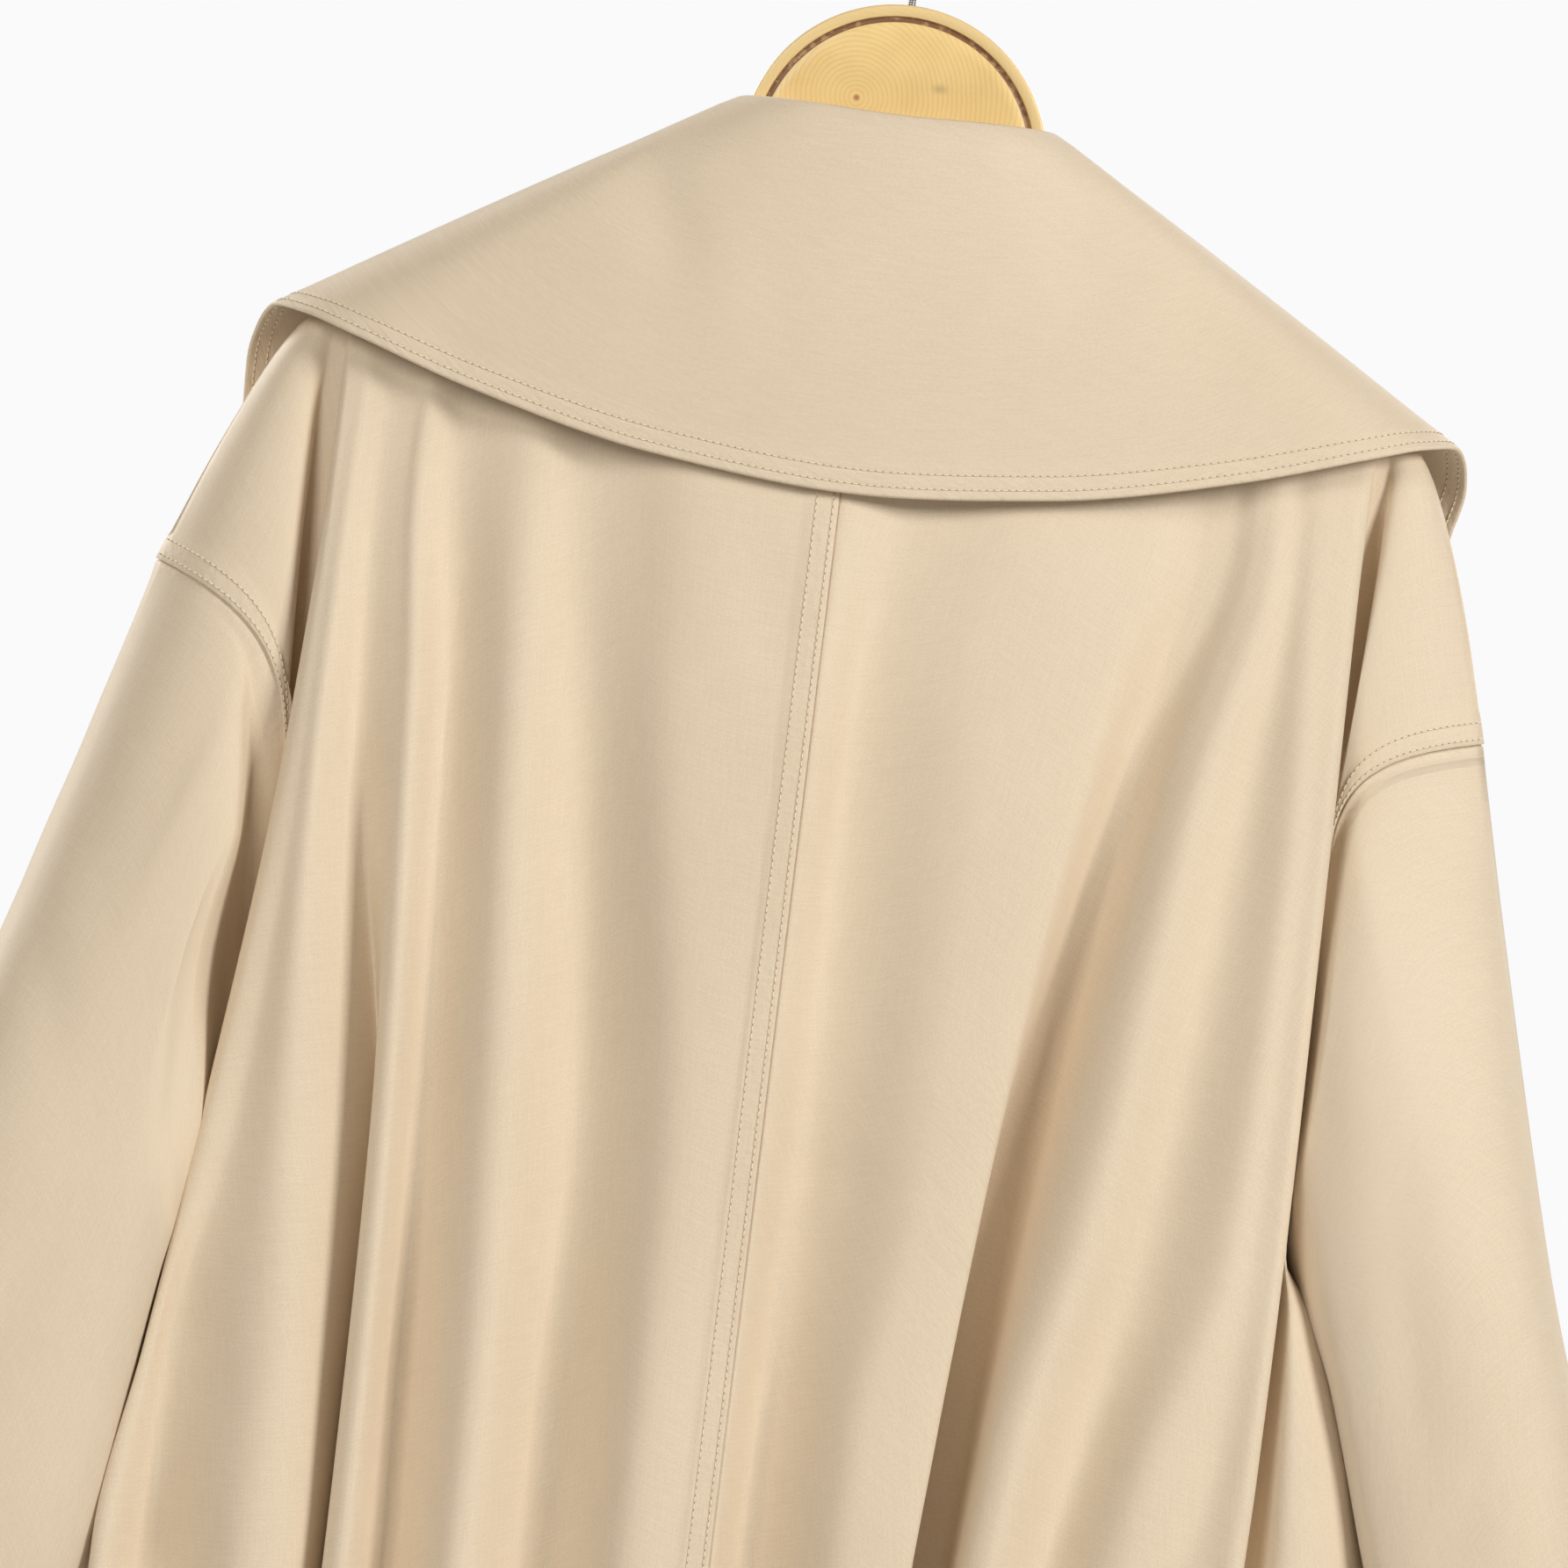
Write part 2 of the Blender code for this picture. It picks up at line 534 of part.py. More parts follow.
def armhole_ring(side):
    """Points, outward directions and normals round the armhole: down the back to the underarm and up the front.

    The sleeve goes on in line with the cap at its top. Lower down it stands out sideways from the panels.
    """
    count = len(DOWN)
    back_grid, back_normals = panel_grid(side, True)
    front_grid, front_normals = panel_grid(side, False)
    points = np.concatenate([back_grid[-1, :count], front_grid[-1, 1:count - 1][::-1]])
    outward = np.concatenate([
        back_grid[-1, :count] - back_grid[-2, :count],
        (front_grid[-1] - front_grid[-2])[1:count - 1][::-1],
    ])
    normals = np.concatenate([back_normals[-1, :count], front_normals[-1, 1:count - 1][::-1]])
    points[0, 1] = 0
    points[count - 1, 1] = 0
    sign = SIDES[side]["sign"]
    fall = ring_fall(side, points[:, 2])
    outward[0] = (sign * 0.6, 0, -0.8)
    outward = unit(outward) * (1 - fall) + np.array([sign * 0.94, 0, -0.34]) * fall
    outward = unit(outward)
    return points + outward * SEAM_GAP * 2, outward, unit(normals), fall


def sleeve(name, side, material):
    """A tube from the armhole ring through the oval sections of its table."""
    sign = SIDES[side]["sign"]
    ring, outward, ring_normals, fall = armhole_ring(side)
    count = len(ring)
    half = len(DOWN) - 1
    turn = np.where(np.arange(count) <= half, np.arange(count) / half * 0.5, 0)
    turn = np.where(np.arange(count) > half, 0.5 + (np.arange(count) - half) / (count - half) * 0.5, turn)
    angle = turn * 2 * math.pi
    table = named(TUBE_COLUMNS, SLEEVES[side])
    sections = [ring, ring + outward * 5]
    for row in range(len(SLEEVES[side])):
        across = np.cos(angle)
        deep = np.sin(angle)
        sections.append(np.stack([
            sign * (table["middle"][row] + table["half_width"][row] * across),
            table["back"][row] + table["half_depth"][row] * deep,
            table["z"][row] + table["tilt"][row] * 0.5 * across,
        ], 1))
    knots = (0, 0.03, 1.0, 1.35, 1.7, 2.25, 2.9)
    at = (0, 0.03, 0.12, 0.26, 0.42, 0.6, 0.8, 1.0, 1.17, 1.35, 1.52, 1.7, 1.97, 2.25, 2.57, 2.9)
    grid = smooth(knots, np.array(sections), at).transpose(1, 0, 2)
    wrapped = np.concatenate([grid[-1:], grid, grid[:1]])
    normals = grid_normals(wrapped)[1:-1] * -sign
    first = ring_normals * (1 - fall) + normals[:, 1] * fall
    normals[:, 0] = unit(first - outward * (first * outward).sum(1, keepdims=True))
    if sign < 0:
        grid, normals = grid[::-1], normals[::-1]
    wall(name, grid, normals, CLOTH, material, around=True)


# Collar


def collar(material):
    """One sheet: up the stand inside the neck, over the roll and down to the outer edge, all round the neck."""
    table = named(COLLAR_COLUMNS, COLLAR)
    stations = np.arange(len(COLLAR))
    at = between(stations.astype(float), [1, 1, 1, 0, 0, 0, 0, 0, 1, 1, 1])
    half = {name: smooth(stations, table[name], at, 0.0 if name[-1] in "yz" else 1.0) for name in COLLAR_COLUMNS[1:]}
    mirrored = {name: np.concatenate([(values[1:] * (-1 if name[-1] == "x" else 1))[::-1], values])
                for name, values in half.items()}
    roll = np.stack([mirrored["roll_x"], mirrored["roll_y"], mirrored["roll_z"]], 1)
    edge = np.stack([mirrored["edge_x"], mirrored["edge_y"], mirrored["edge_z"]], 1)
    edge[:, 0] += CENTRE_BACK_X * 0.4 * np.exp(-((edge[:, 0] / 150) ** 2))
    fall = edge - roll
    along = unit(np.gradient(roll, axis=0))
    face = unit(np.cross(np.gradient(roll + edge, axis=0), fall))
    middle = len(roll) // 2
    face = face * np.sign(face[middle, 1])

    # The stand goes straight down round the back and the sides of the neck, and lies behind the fall in front.
    front = np.clip(mirrored["front"], 0, 1)[:, None]
    heading = unit(fall - along * (fall * along).sum(1, keepdims=True))
    straight = unit(np.array([0, 0, -1]) * (1 - front) - face * front)
    depth = np.where(roll[:, 1] > 0, NECK_ROLL[1], NECK_ROLL[2])
    round_neck = unit(np.stack([roll[:, 0] / NECK_ROLL[0] ** 2, roll[:, 1] / depth**2, 0 * depth], 1))
    away = unit(round_neck * (1 - front) + heading * front)
    inward = unit(straight * (away * straight).sum(1, keepdims=True) - away)
    crest = -unit(heading + straight)
    stand = mirrored["stand"][:, None]
    rows = [roll + inward * off + straight * stand * depth for depth, off in ((1.0, 5.2), (0.55, 5.2), (0.22, 4.7))]
    rows.append(roll + inward * 2.6 + crest * 1.4)
    for share in (0.03, 0.14, 0.32, 0.52, 0.74, 0.92, 1.0):
        swell = face * (mirrored["swell"] * math.sin(math.pi * share**0.8))[:, None]
        rows.append(roll + fall * share + swell)
    grid = np.array(rows).transpose(1, 0, 2)
    normals = grid_normals(grid)
    if normals[middle, -2, 1] < 0:
        grid, normals = grid[::-1], -normals[::-1]
    wall("collar", grid, normals, COLLAR_CLOTH, material)


# Belt, loops, buckle and buttons


def belt_line(run):
    """A point and outward direction on the belt's inner side, for a run round it from the middle of the front."""
    quarter = belt_quarter(0.0)[2]
    run = np.mod(np.asarray(run, float), 4 * quarter)
    to_back = 2 * quarter - run
    near_front = np.abs(to_back) > quarter
    folded = np.where(near_front, np.sign(to_back) * (2 * quarter - np.abs(to_back)), to_back)
    line, outward, _ = belt_quarter(folded)
    flip = np.where(near_front, -1.0, 1.0)
    line[..., 1] *= flip
    outward[..., 1] *= flip
    return line + outward * BELT_EASE / 2, outward


def belt(material):
    """One strip that starts under the buckle, goes once round the coat, and ends as a tail over its own start."""
    quarter = belt_quarter(0.0)[2]
    once = 4 * quarter
    shares = np.array(BELT_STEPS)
    turns = np.concatenate([shares, 2 - shares[1:][::-1]])
    places = np.concatenate([turns[:-1], turns + 2]) * quarter
    places = np.concatenate([places[:-1], np.linspace(once, once + BELT_TAIL, 6)])
    line, outward = belt_line(places)
    lift = np.clip((places - (once - 60)) / 50, 0, 1)
    lift = lift**2 * (3 - 2 * lift) * (BELT_CLOTH + SEAM_GAP * 2)
    inner = line + outward * lift[:, None]
    outer = inner + outward * BELT_CLOTH
    half = BELT_WIDTH / 2
    corners = ((outer, BELT_Z + half), (outer, BELT_Z - half), (inner, BELT_Z - half), (inner, BELT_Z + half))
    tube("belt", np.stack([np.column_stack([xy, np.full(len(xy), z)]) for xy, z in corners], 1), material)


def belt_loop(name, run, material):
    """A narrow strip that leaves the coat above the belt, passes over it and meets the coat again below."""
    line, outward = belt_line(np.array([run]))
    side = outward[0, ::-1] * (-1, 1) * LOOP_WIDTH / 2
    near, far = -BELT_EASE / 3, BELT_CLOTH + SEAM_GAP
    high = BELT_WIDTH / 2 + 1
    upper = ((near, high), (far, high), (near, high + LOOP_CLOTH), (far + LOOP_CLOTH, high + LOOP_CLOTH))
    profile = [upper[2], upper[3], *((offset, -up) for offset, up in (upper[3], upper[2], upper[0], upper[1])),
               upper[1], upper[0]]
    xy = [line[0] + outward[0] * offset for offset, _ in profile]
    rings = [[(x + way * side[0], y + way * side[1], BELT_Z + up) for (x, y), (_, up) in zip(xy, profile)]
             for way in (-1, 1)]
    tube(name, np.array(rings), material)


def bevelled(name, made, width, material):
    """An object from a bmesh in millimetres, with all its edges bevelled."""
    bmesh.ops.recalc_face_normals(made, faces=made.faces)
    bmesh.ops.bevel(made, geom=list(made.edges), offset=width, segments=1, affect="EDGES")
    points = [vert.co[:] for vert in made.verts]
    faces = [[vert.index for vert in face.verts] for face in made.faces]
    made.free()
    return add_solid(name, points, faces, material, smooth_shade=False)


def box(size, centre):
    """A bmesh box in millimetres."""
    made = bmesh.new()
    bmesh.ops.create_cube(made, size=1.0)
    for vert in made.verts:
        vert.co = [vert.co[i] * size[i] + centre[i] for i in range(3)]
    return made


def buckle(material):
    """A square frame before the belt's two layers, and the bar that crosses it."""
    back = -(BELT_HALF[1] + BELT_EASE / 2 + 2 * BELT_CLOTH + SEAM_GAP * 3)
    front = back - BUCKLE_THICK
    corners = np.array([(-1, -1), (1, -1), (1, 1), (-1, 1)])
    outer = corners * BUCKLE_HALF
    inner = corners * (np.array(BUCKLE_HALF) - BUCKLE_BAR)
    made = bmesh.new()
    rings = [[made.verts.new((x, y, BELT_Z + z)) for x, z in ring] for y in (back, front) for ring in (outer, inner)]
    for a, b in ((0, 1), (2, 3), (0, 2), (1, 3)):
        for i in range(4):
            j = (i + 1) % 4
            made.faces.new([rings[a][i], rings[a][j], rings[b][j], rings[b][i]])
    bevelled("buckle", made, BUCKLE_BEVEL, material)
    size = (2 * BUCKLE_HALF[0] - 1, PRONG[0], PRONG[1])
    bevelled("buckle_prong", box(size, (0, front - SEAM_GAP - PRONG[0] / 2, BELT_Z)), BUCKLE_BEVEL, material)


def turned(name, profile, centre, steps, material, lean=(0.0, 0.0)):
    """A solid of revolution about a line along Y: profile rows are distance out and y, from axis to axis.

    `lean` is how much y grows for each step along x and along z, to lay it on sloping cloth.
    """
    angles = np.arange(steps) * 2 * math.pi / steps
    circle = np.stack([np.cos(angles), 0 * angles, np.sin(angles)], 1)
    middle = [np.array(centre) * (1, 0, 1) + circle * radius + (0, y, 0) for radius, y in profile[1:-1]]
    ends = [[(centre[0], y, centre[2])] for y in (profile[0][1], profile[-1][1])]
    points = np.concatenate([ends[0], *middle, ends[1]])
    points[:, 1] += (points[:, 0] - centre[0]) * lean[0] + (points[:, 2] - centre[2]) * lean[1]
    ring = 1 + np.arange(len(middle) * steps).reshape(len(middle), steps)
    after = np.roll(ring, -1, axis=1)
    faces = np.stack([ring[:-1], ring[1:], after[1:], after[:-1]], 2).reshape(-1, 4).tolist()
    faces += [[0, a, b] for a, b in zip(ring[0], after[0])]
    faces += [[len(points) - 1, b, a] for a, b in zip(ring[-1], after[-1])]
    return add_solid(name, points, faces, material)


def buttons(material):
    """Two columns of plain buttons on the right front, which lies on top."""
    grid, _ = panel_grid("right", False)
    grid = lapped(grid, "right").reshape(-1, 3)
    places = [(x, z) for z in BUTTON_ROWS for x in BUTTON_COLUMNS]
    radius = BUTTON_RADIUS
    for number, (x, z) in enumerate(places, 1):
        # The plane y = a + b (x - x0) + c (z - z0) that lies nearest the cloth's points round the button.
        near = grid[np.hypot(grid[:, 0] - x, grid[:, 2] - z) < BUTTON_REACH]
        terms = np.column_stack([np.ones(len(near)), near[:, 0] - x, near[:, 2] - z])
        plane = np.linalg.lstsq(terms, near[:, 1], rcond=None)[0]
        back = plane[0] - SEAM_GAP * 1.5
        front = back - BUTTON_THICK
        profile = ((0, back), (radius * 0.8, back), (radius, back - 1.6), (radius - 0.8, front),
                   (radius - 3.2, front), (radius - 4.2, front + 0.9), (0, front + 0.9))
        turned(f"button_{number}", profile, (x, 0, z), BUTTON_STEPS, material, plane[1:])


# Hanger


def cut(target, name, made):
    """Takes a bmesh, in millimetres, out of an object."""
    mesh = bpy.data.meshes.new(name)
    bmesh.ops.scale(made, vec=(MM, MM, MM), verts=made.verts)
    made.to_mesh(mesh)
    made.free()
    cutter = bpy.data.objects.new(name, mesh)
    bpy.context.scene.collection.objects.link(cutter)
    cutter.hide_render = True
    cutter.display_type = "WIRE"
    modifier = target.modifiers.new(name, "BOOLEAN")
    modifier.operation = "DIFFERENCE"
    modifier.object = cutter


def hanger_plate(material):
    """The upper slice of a round of wood with a grooved rim, and a hole in its top for the hook's stem."""
    rim = PLATE_RADIUS - RIM_WIDTH
    groove = rim - GROOVE_WIDTH
    half = PLATE_HALF
    floor = half - GROOVE_DEPTH
    side = ((groove, half), (groove + 0.3, floor), (rim - 0.3, floor), (rim, half), (PLATE_RADIUS - 1, half),
            (PLATE_RADIUS, half - 1))
    profile = ((0, half), *side, *((radius, -y) for radius, y in side[::-1]), (0, -half))
    plate = turned("hanger_plate", profile, (0, 0, PLATE_CENTRE_Z), PLATE_STEPS, material)
    wide = 4 * PLATE_RADIUS
    cut(plate, "plate_cutter", box((wide, wide, wide), (0, 0, PLATE_BOTTOM_Z - wide / 2)))
    hole = bmesh.new()
    radius = HOOK_WIRE + SEAM_GAP * 1.3
    bmesh.ops.create_cone(hole, cap_ends=True, segments=10, radius1=radius, radius2=radius, depth=2 * STEM_DEPTH)
    bmesh.ops.translate(hole, vec=(0, 0, PLATE_CENTRE_Z + PLATE_RADIUS), verts=hole.verts)
    cut(plate, "stem_cutter", hole)


def tube(name, rings, material):
    """A closed solid through rings of points, rings first, with a flat end at each."""
    count, sides = rings.shape[:2]
    index = np.arange(count * sides).reshape(count, sides)
    after = np.roll(index, -1, axis=1)
    faces = np.stack([index[:-1], index[1:], after[1:], after[:-1]], 2).reshape(-1, 4).tolist()
    add_solid(name, rings.reshape(-1, 3), [*faces, index[0].tolist(), index[-1][::-1].tolist()], material)


def hanger_bar(material):
    """The arms that carry the shoulders: a rounded bar along the shoulder line, just under the cloth."""
    half = np.array(ARM_PLACES)
    across = np.concatenate([-half[1:][::-1], half])
    on_neck = np.maximum(half, NECK_HALF)
    under_cloth = np.minimum(shoulder_height("left", on_neck), shoulder_height("right", on_neck)) - ARM_DROP
    # Its middle rises to the plate, and beside that it passes under the collar.
    top = np.where(half <= ARM_MIDDLE, PLATE_BOTTOM_Z - SEAM_GAP, under_cloth - np.where(half < NECK_HALF + 4, 2, 0))
    top = np.concatenate([top[1:][::-1], top])
    to_end = ARM_END - np.abs(across)
    depth = ARM_HALF * (0.87 + 0.13 * to_end / ARM_END)
    height = ARM_HEIGHT * (0.62 + 0.38 * np.clip(to_end / 120, 0, 1)) * np.clip(to_end / 14, 0.45, 1)
    quarter = ((0.45, 0), (0.9, 0.1), (1, 0.3), (1, 0.75), (0.7, 1))
    section = (*quarter, *((-y, drop) for y, drop in quarter[::-1]))
    rings = [np.stack([across, depth * y, top - height * drop], 1) for y, drop in section]
    tube("hanger_bar", np.stack(rings, 1), material)


def hanger_hook(material):
    """A wire that rises from the plate and bends over into the hook."""
    bend = np.radians(np.linspace(-90, 208, HOOK_STEPS))
    radius = HOOK_INNER + HOOK_WIRE
    arc = np.stack([radius * np.cos(bend), 0 * bend, radius * np.sin(bend) - HOOK_INNER], 1)
    arc[0] += (0.9, 0, -3)
    plate_top = PLATE_CENTRE_Z + PLATE_RADIUS
    stem = np.array([(0, 0, plate_top - STEM_DEPTH + 2), (0, 0, plate_top - 2), (0, 0, arc[0, 2] - 9)])
    path = np.concatenate([stem, arc])
    side = np.array([0.0, 1.0, 0.0])
    other = np.cross(unit(np.gradient(path, axis=0)), side)
    angles = np.arange(WIRE_SIDES) * 2 * math.pi / WIRE_SIDES
    rings = [path + HOOK_WIRE * (math.cos(angle) * side + math.sin(angle) * other) for angle in angles]
    tube("hanger_hook", np.stack(rings, 1), material)


def build():
    for obj in list(bpy.data.objects):
        bpy.data.objects.remove(obj)
    cloth = make_material("gabardine", (0.72, 0.59, 0.42), 0.62)
    horn = make_material("horn", (0.33, 0.22, 0.13), 0.35)
    metal = make_material("hook_metal", (0.32, 0.31, 0.3), 0.35, 1.0)
    wood = make_material("pale_wood", (0.72, 0.49, 0.24), 0.45)
    for side in SIDES:
        body_panel(f"back_{side}", side, True, cloth)
        body_panel(f"front_{side}", side, False, cloth)
        sleeve(f"sleeve_{side}", side, cloth)
    collar(cloth)
    belt(cloth)
    quarter = belt_quarter(0.0)[2]
    belt_loop("belt_loop_left", quarter, cloth)
    belt_loop("belt_loop_back", 2 * quarter, cloth)
    belt_loop("belt_loop_right", 3 * quarter, cloth)
    buckle(horn)
    buttons(horn)
    hanger_plate(wood)
    hanger_bar(wood)
    hanger_hook(metal)


build()
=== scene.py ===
# %% [markdown]
# # A trench coat on a wooden hanger
# The coat hangs with its back to the camera, from a hanger with a round wooden plate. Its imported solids
# give the place of everything: each cloth solid is replaced here by a thin sheet on the same form, with
# seams, stitches and weave. Lengths are in millimetres until a mesh is made. +Z is up, the back faces +Y,
# and the wearer's left is +X. The origin is where the hook hangs.

import math

import bpy
import numpy as np
from mathutils import Matrix, Vector


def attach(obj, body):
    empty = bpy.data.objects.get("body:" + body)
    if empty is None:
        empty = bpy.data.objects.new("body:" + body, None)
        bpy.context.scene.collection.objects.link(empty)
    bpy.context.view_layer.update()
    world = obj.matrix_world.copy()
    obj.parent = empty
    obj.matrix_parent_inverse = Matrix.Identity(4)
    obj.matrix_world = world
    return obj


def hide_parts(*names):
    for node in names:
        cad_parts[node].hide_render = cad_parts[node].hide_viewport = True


MM = 0.001
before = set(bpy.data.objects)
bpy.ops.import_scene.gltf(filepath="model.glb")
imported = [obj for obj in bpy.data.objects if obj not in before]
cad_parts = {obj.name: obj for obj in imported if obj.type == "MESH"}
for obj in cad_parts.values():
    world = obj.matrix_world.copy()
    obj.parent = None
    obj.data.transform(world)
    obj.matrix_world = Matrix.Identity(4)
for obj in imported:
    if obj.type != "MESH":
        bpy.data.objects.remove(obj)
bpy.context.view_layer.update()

# %% [markdown]
# ## Camera, light and floor
# A photographer of clothes uses a long lens and big soft lights. The camera stands behind the coat, level
# with its shoulder blades, and is rolled a little, so the coat leans in the picture. The sky is brighter
# where the camera sees it than where it lights the cloth. That keeps the ground white without washing out
# the folds. The same two lights stand on the other side too, so the front can be looked at.

# %% Camera
LENS_DISTANCE = 3.0
VIEW_WIDTH = 0.595
VIEW_CENTRE = Vector((0.0123, 0.045, -0.3593))
CAMERA_ROLL = math.radians(7.0)
SENSOR = 36.0

scene = bpy.context.scene
camera = bpy.data.objects.new("camera", bpy.data.cameras.new("camera"))
scene.collection.objects.link(camera)
camera.data.sensor_width = SENSOR
camera.data.lens = SENSOR * LENS_DISTANCE / VIEW_WIDTH
stand_point = VIEW_CENTRE + Vector((0, LENS_DISTANCE, 0))
looking = (VIEW_CENTRE - stand_point).to_track_quat("-Z", "Y").to_matrix().to_4x4()
camera.matrix_world = Matrix.Translation(stand_point) @ looking @ Matrix.Rotation(CAMERA_ROLL, 4, "Z")
scene.camera = camera
scene.view_settings.view_transform = "Standard"
print("lens", round(camera.data.lens, 1), "mm")

# %% Lights
# Name, place, power in watts, size in metres and tint of each soft box
SOFT_BOXES = (
    ("key", (-2.7, 2.1, 1.0), 97.0, 1.0, (0.985, 0.99, 0.985)),
    ("fill", (1.6, 2.5, 0.9), 43.0, 1.3, (0.99, 0.985, 0.96)),
    ("front_key", (2.7, -2.1, 1.0), 97.0, 1.0, (0.985, 0.99, 0.985)),
    ("front_fill", (-1.6, -2.5, 0.9), 43.0, 1.3, (0.99, 0.985, 0.96)),
)
LIT_POINT = Vector((0, 0, -0.45))


def soft_box(name, place, power, size, tint):
    """A square light that faces the coat and isn't seen by the camera."""
    light = bpy.data.lights.new(name, "AREA")
    light.energy, light.size, light.color = power, size, tint
    lamp = bpy.data.objects.new(name, light)
    scene.collection.objects.link(lamp)
    lamp.location = place
    lamp.rotation_euler = (LIT_POINT - Vector(place)).to_track_quat("-Z", "Y").to_euler()
    lamp.visible_camera = False


for row in SOFT_BOXES:
    soft_box(*row)
print("soft boxes", len(SOFT_BOXES))

# %% [markdown]
# ## Shader maths as plain sums
# A finish is easier to read as an expression than as a list of links. `Value` wraps one socket, and + - *
# and ** between values and numbers add Math nodes. `Finish.add` makes any other node: its kind, its
# settings, and then the values or links of its sockets.


# %% One value of a finish
class Value:
    """One socket of a finish. Sums with it add Math nodes."""

    def __init__(self, finish, socket):
        self.finish = finish
        self.socket = socket

    def math(self, operation, *others, clamp=False):
        values = dict(enumerate((self, *others)))
        return self.finish.add("ShaderNodeMath", {"operation": operation, "use_clamp": clamp}, values)

    def __add__(self, other):
        return self.math("ADD", other)

    def __mul__(self, other):
        return self.math("MULTIPLY", other)

    def __sub__(self, other):
        return self.math("SUBTRACT", other)

    def __rsub__(self, other):
        return self.math("MULTIPLY", -1.0).math("ADD", other)

    def __pow__(self, other):
        return self.math("POWER", other)

    __radd__ = __add__
    __rmul__ = __mul__

    def step(self, low, high, out_low=0.0, out_high=1.0):
        """Rises smoothly from out_low at `low` to out_high at `high`."""
        settings = {"interpolation_type": "SMOOTHSTEP"}
        outputs = {0: self, 1: low, 2: high, 3: out_low, 4: out_high}
        return self.finish.add("ShaderNodeMapRange", settings, outputs)

    def near(self, centre, half):
        """1 where the value is `centre`, falling to 0 at `half` from it."""
        return (self - centre).math("ABSOLUTE").step(0.0, half, 1.0, 0.0)


# %% A whole finish
class Finish:
    """A material of nodes that ends in one Principled shader, whose plain numbers are given by name."""

    def __init__(self, name, **plain):
        self.material = bpy.data.materials.new(name)
        self.material.use_nodes = True
        self.tree = self.material.node_tree
        self.shader = self.tree.nodes["Principled BSDF"]
        for label, value in plain.items():
            self.shader.inputs[label.replace("_", " ")].default_value = value

    def put(self, socket, value):
        """Links a value to a socket, or sets the socket to a plain number."""
        if isinstance(value, Value):
            self.tree.links.new(value.socket, socket)
        else:
            socket.default_value = value

    def add(self, kind, settings=None, inputs=None, out=0):
        """A node of that kind, as the value of one of its outputs."""
        node = self.tree.nodes.new(kind)
        for label, value in (settings or {}).items():
            setattr(node, label, value)
        for label, value in (inputs or {}).items():
            self.put(node.inputs[label], value)
        return Value(self, node.outputs[out])

    def mix(self, share, first, second):
        """A colour between two colours."""
        settings = {"data_type": "RGBA", "blend_type": "MIX"}
        pair = [value if isinstance(value, Value) else (*value, 1.0) for value in (first, second)]
        return self.add("ShaderNodeMix", settings, {0: share, 6: pair[0], 7: pair[1]}, out=2)

    def place(self):
        """Across, back and up on the piece, in metres."""
        whole = self.add("ShaderNodeTexCoord", out="Object")
        parts = [self.add("ShaderNodeSeparateXYZ", {}, {0: whole}, out=axis) for axis in range(3)]
        return whole, *parts

    def cloth_place(self):
        """Distance along the weft and along the warp, in metres."""
        uv = self.add("ShaderNodeUVMap", {"uv_map": "cloth"})
        return [self.add("ShaderNodeSeparateXYZ", {}, {0: uv}, out=axis) for axis in range(2)]

    def vector(self, x, y, z=0.0):
        """Three numbers as one place."""
        return self.add("ShaderNodeCombineXYZ", {}, {0: x, 1: y, 2: z})

    def noise(self, vector, scale, detail=2.0, rough=0.5):
        """Uneven values near 0.5, in cells of 1 / scale."""
        inputs = {"Vector": vector, "Scale": scale, "Detail": detail, "Roughness": rough}
        return self.add("ShaderNodeTexNoise", {}, inputs)

    def mark(self, name):
        """A number kept at each point of the mesh."""
        return self.add("ShaderNodeAttribute", {"attribute_name": name}, out="Fac")

    def bump(self, height, distance, strength=1.0):
        """Turns the surface as a relief would, with `distance` in millimetres for a height of 1."""
        inputs = {"Height": height, "Distance": distance * MM, "Strength": strength}
        return self.add("ShaderNodeBump", {}, inputs)

    def finish(self, **linked):
        """Links values to the shader's sockets by name, and gives the material."""
        for label, value in linked.items():
            self.put(self.shader.inputs[label.replace("_", " ")], value)
        return self.material


# %% Sky and floor
SKY_SEEN = (0.955, 0.955, 0.965, 1)
SKY_LIGHT = (0.152, 0.145, 0.134, 1)
FLOOR_SIZE = 3.6
FLOOR_Z = -1.5
FLOOR_TONES = ((0.8, 0.8, 0.8), (0.84, 0.84, 0.85))


def make_sky():
    """White where the camera sees it, and softer where it lights the cloth."""
    sky = bpy.data.worlds.new("sky")
    scene.world = sky
    sky.use_nodes = True
    tree = sky.node_tree
    seen = tree.nodes.new("ShaderNodeLightPath")
    mix = tree.nodes.new("ShaderNodeMix")
    mix.data_type = "RGBA"
    mix.inputs[6].default_value = SKY_LIGHT
    mix.inputs[7].default_value = SKY_SEEN
    tree.links.new(seen.outputs["Is Camera Ray"], mix.inputs[0])
    tree.links.new(mix.outputs[2], tree.nodes["Background"].inputs["Color"])


make_sky()
bpy.ops.mesh.primitive_plane_add(size=FLOOR_SIZE, location=(0, 0, FLOOR_Z))
floor = bpy.context.object
floor.name = "floor"
pale = Finish("floor_paint", Roughness=0.9)
grain = pale.noise(pale.place()[0], 3.0)
floor.data.materials.append(pale.finish(Base_Color=pale.mix(grain, *FLOOR_TONES)))
print("floor at", floor.location.z)

# %% [markdown]
# ## Gabardine
# Gabardine is a close twill: its warp threads float over two weft threads, each row one step aside, which
# leaves fine slanting ribs and a soft sheen. The threads aren't quite even, so short pale and dark
# streaks run along the weft, and fainter ones along the warp. A picture of cloth would repeat and
# stretch. Here the ribs are a sine of the cloth's own two distances, which every sheet carries as its UV
# map, so they follow each fold.

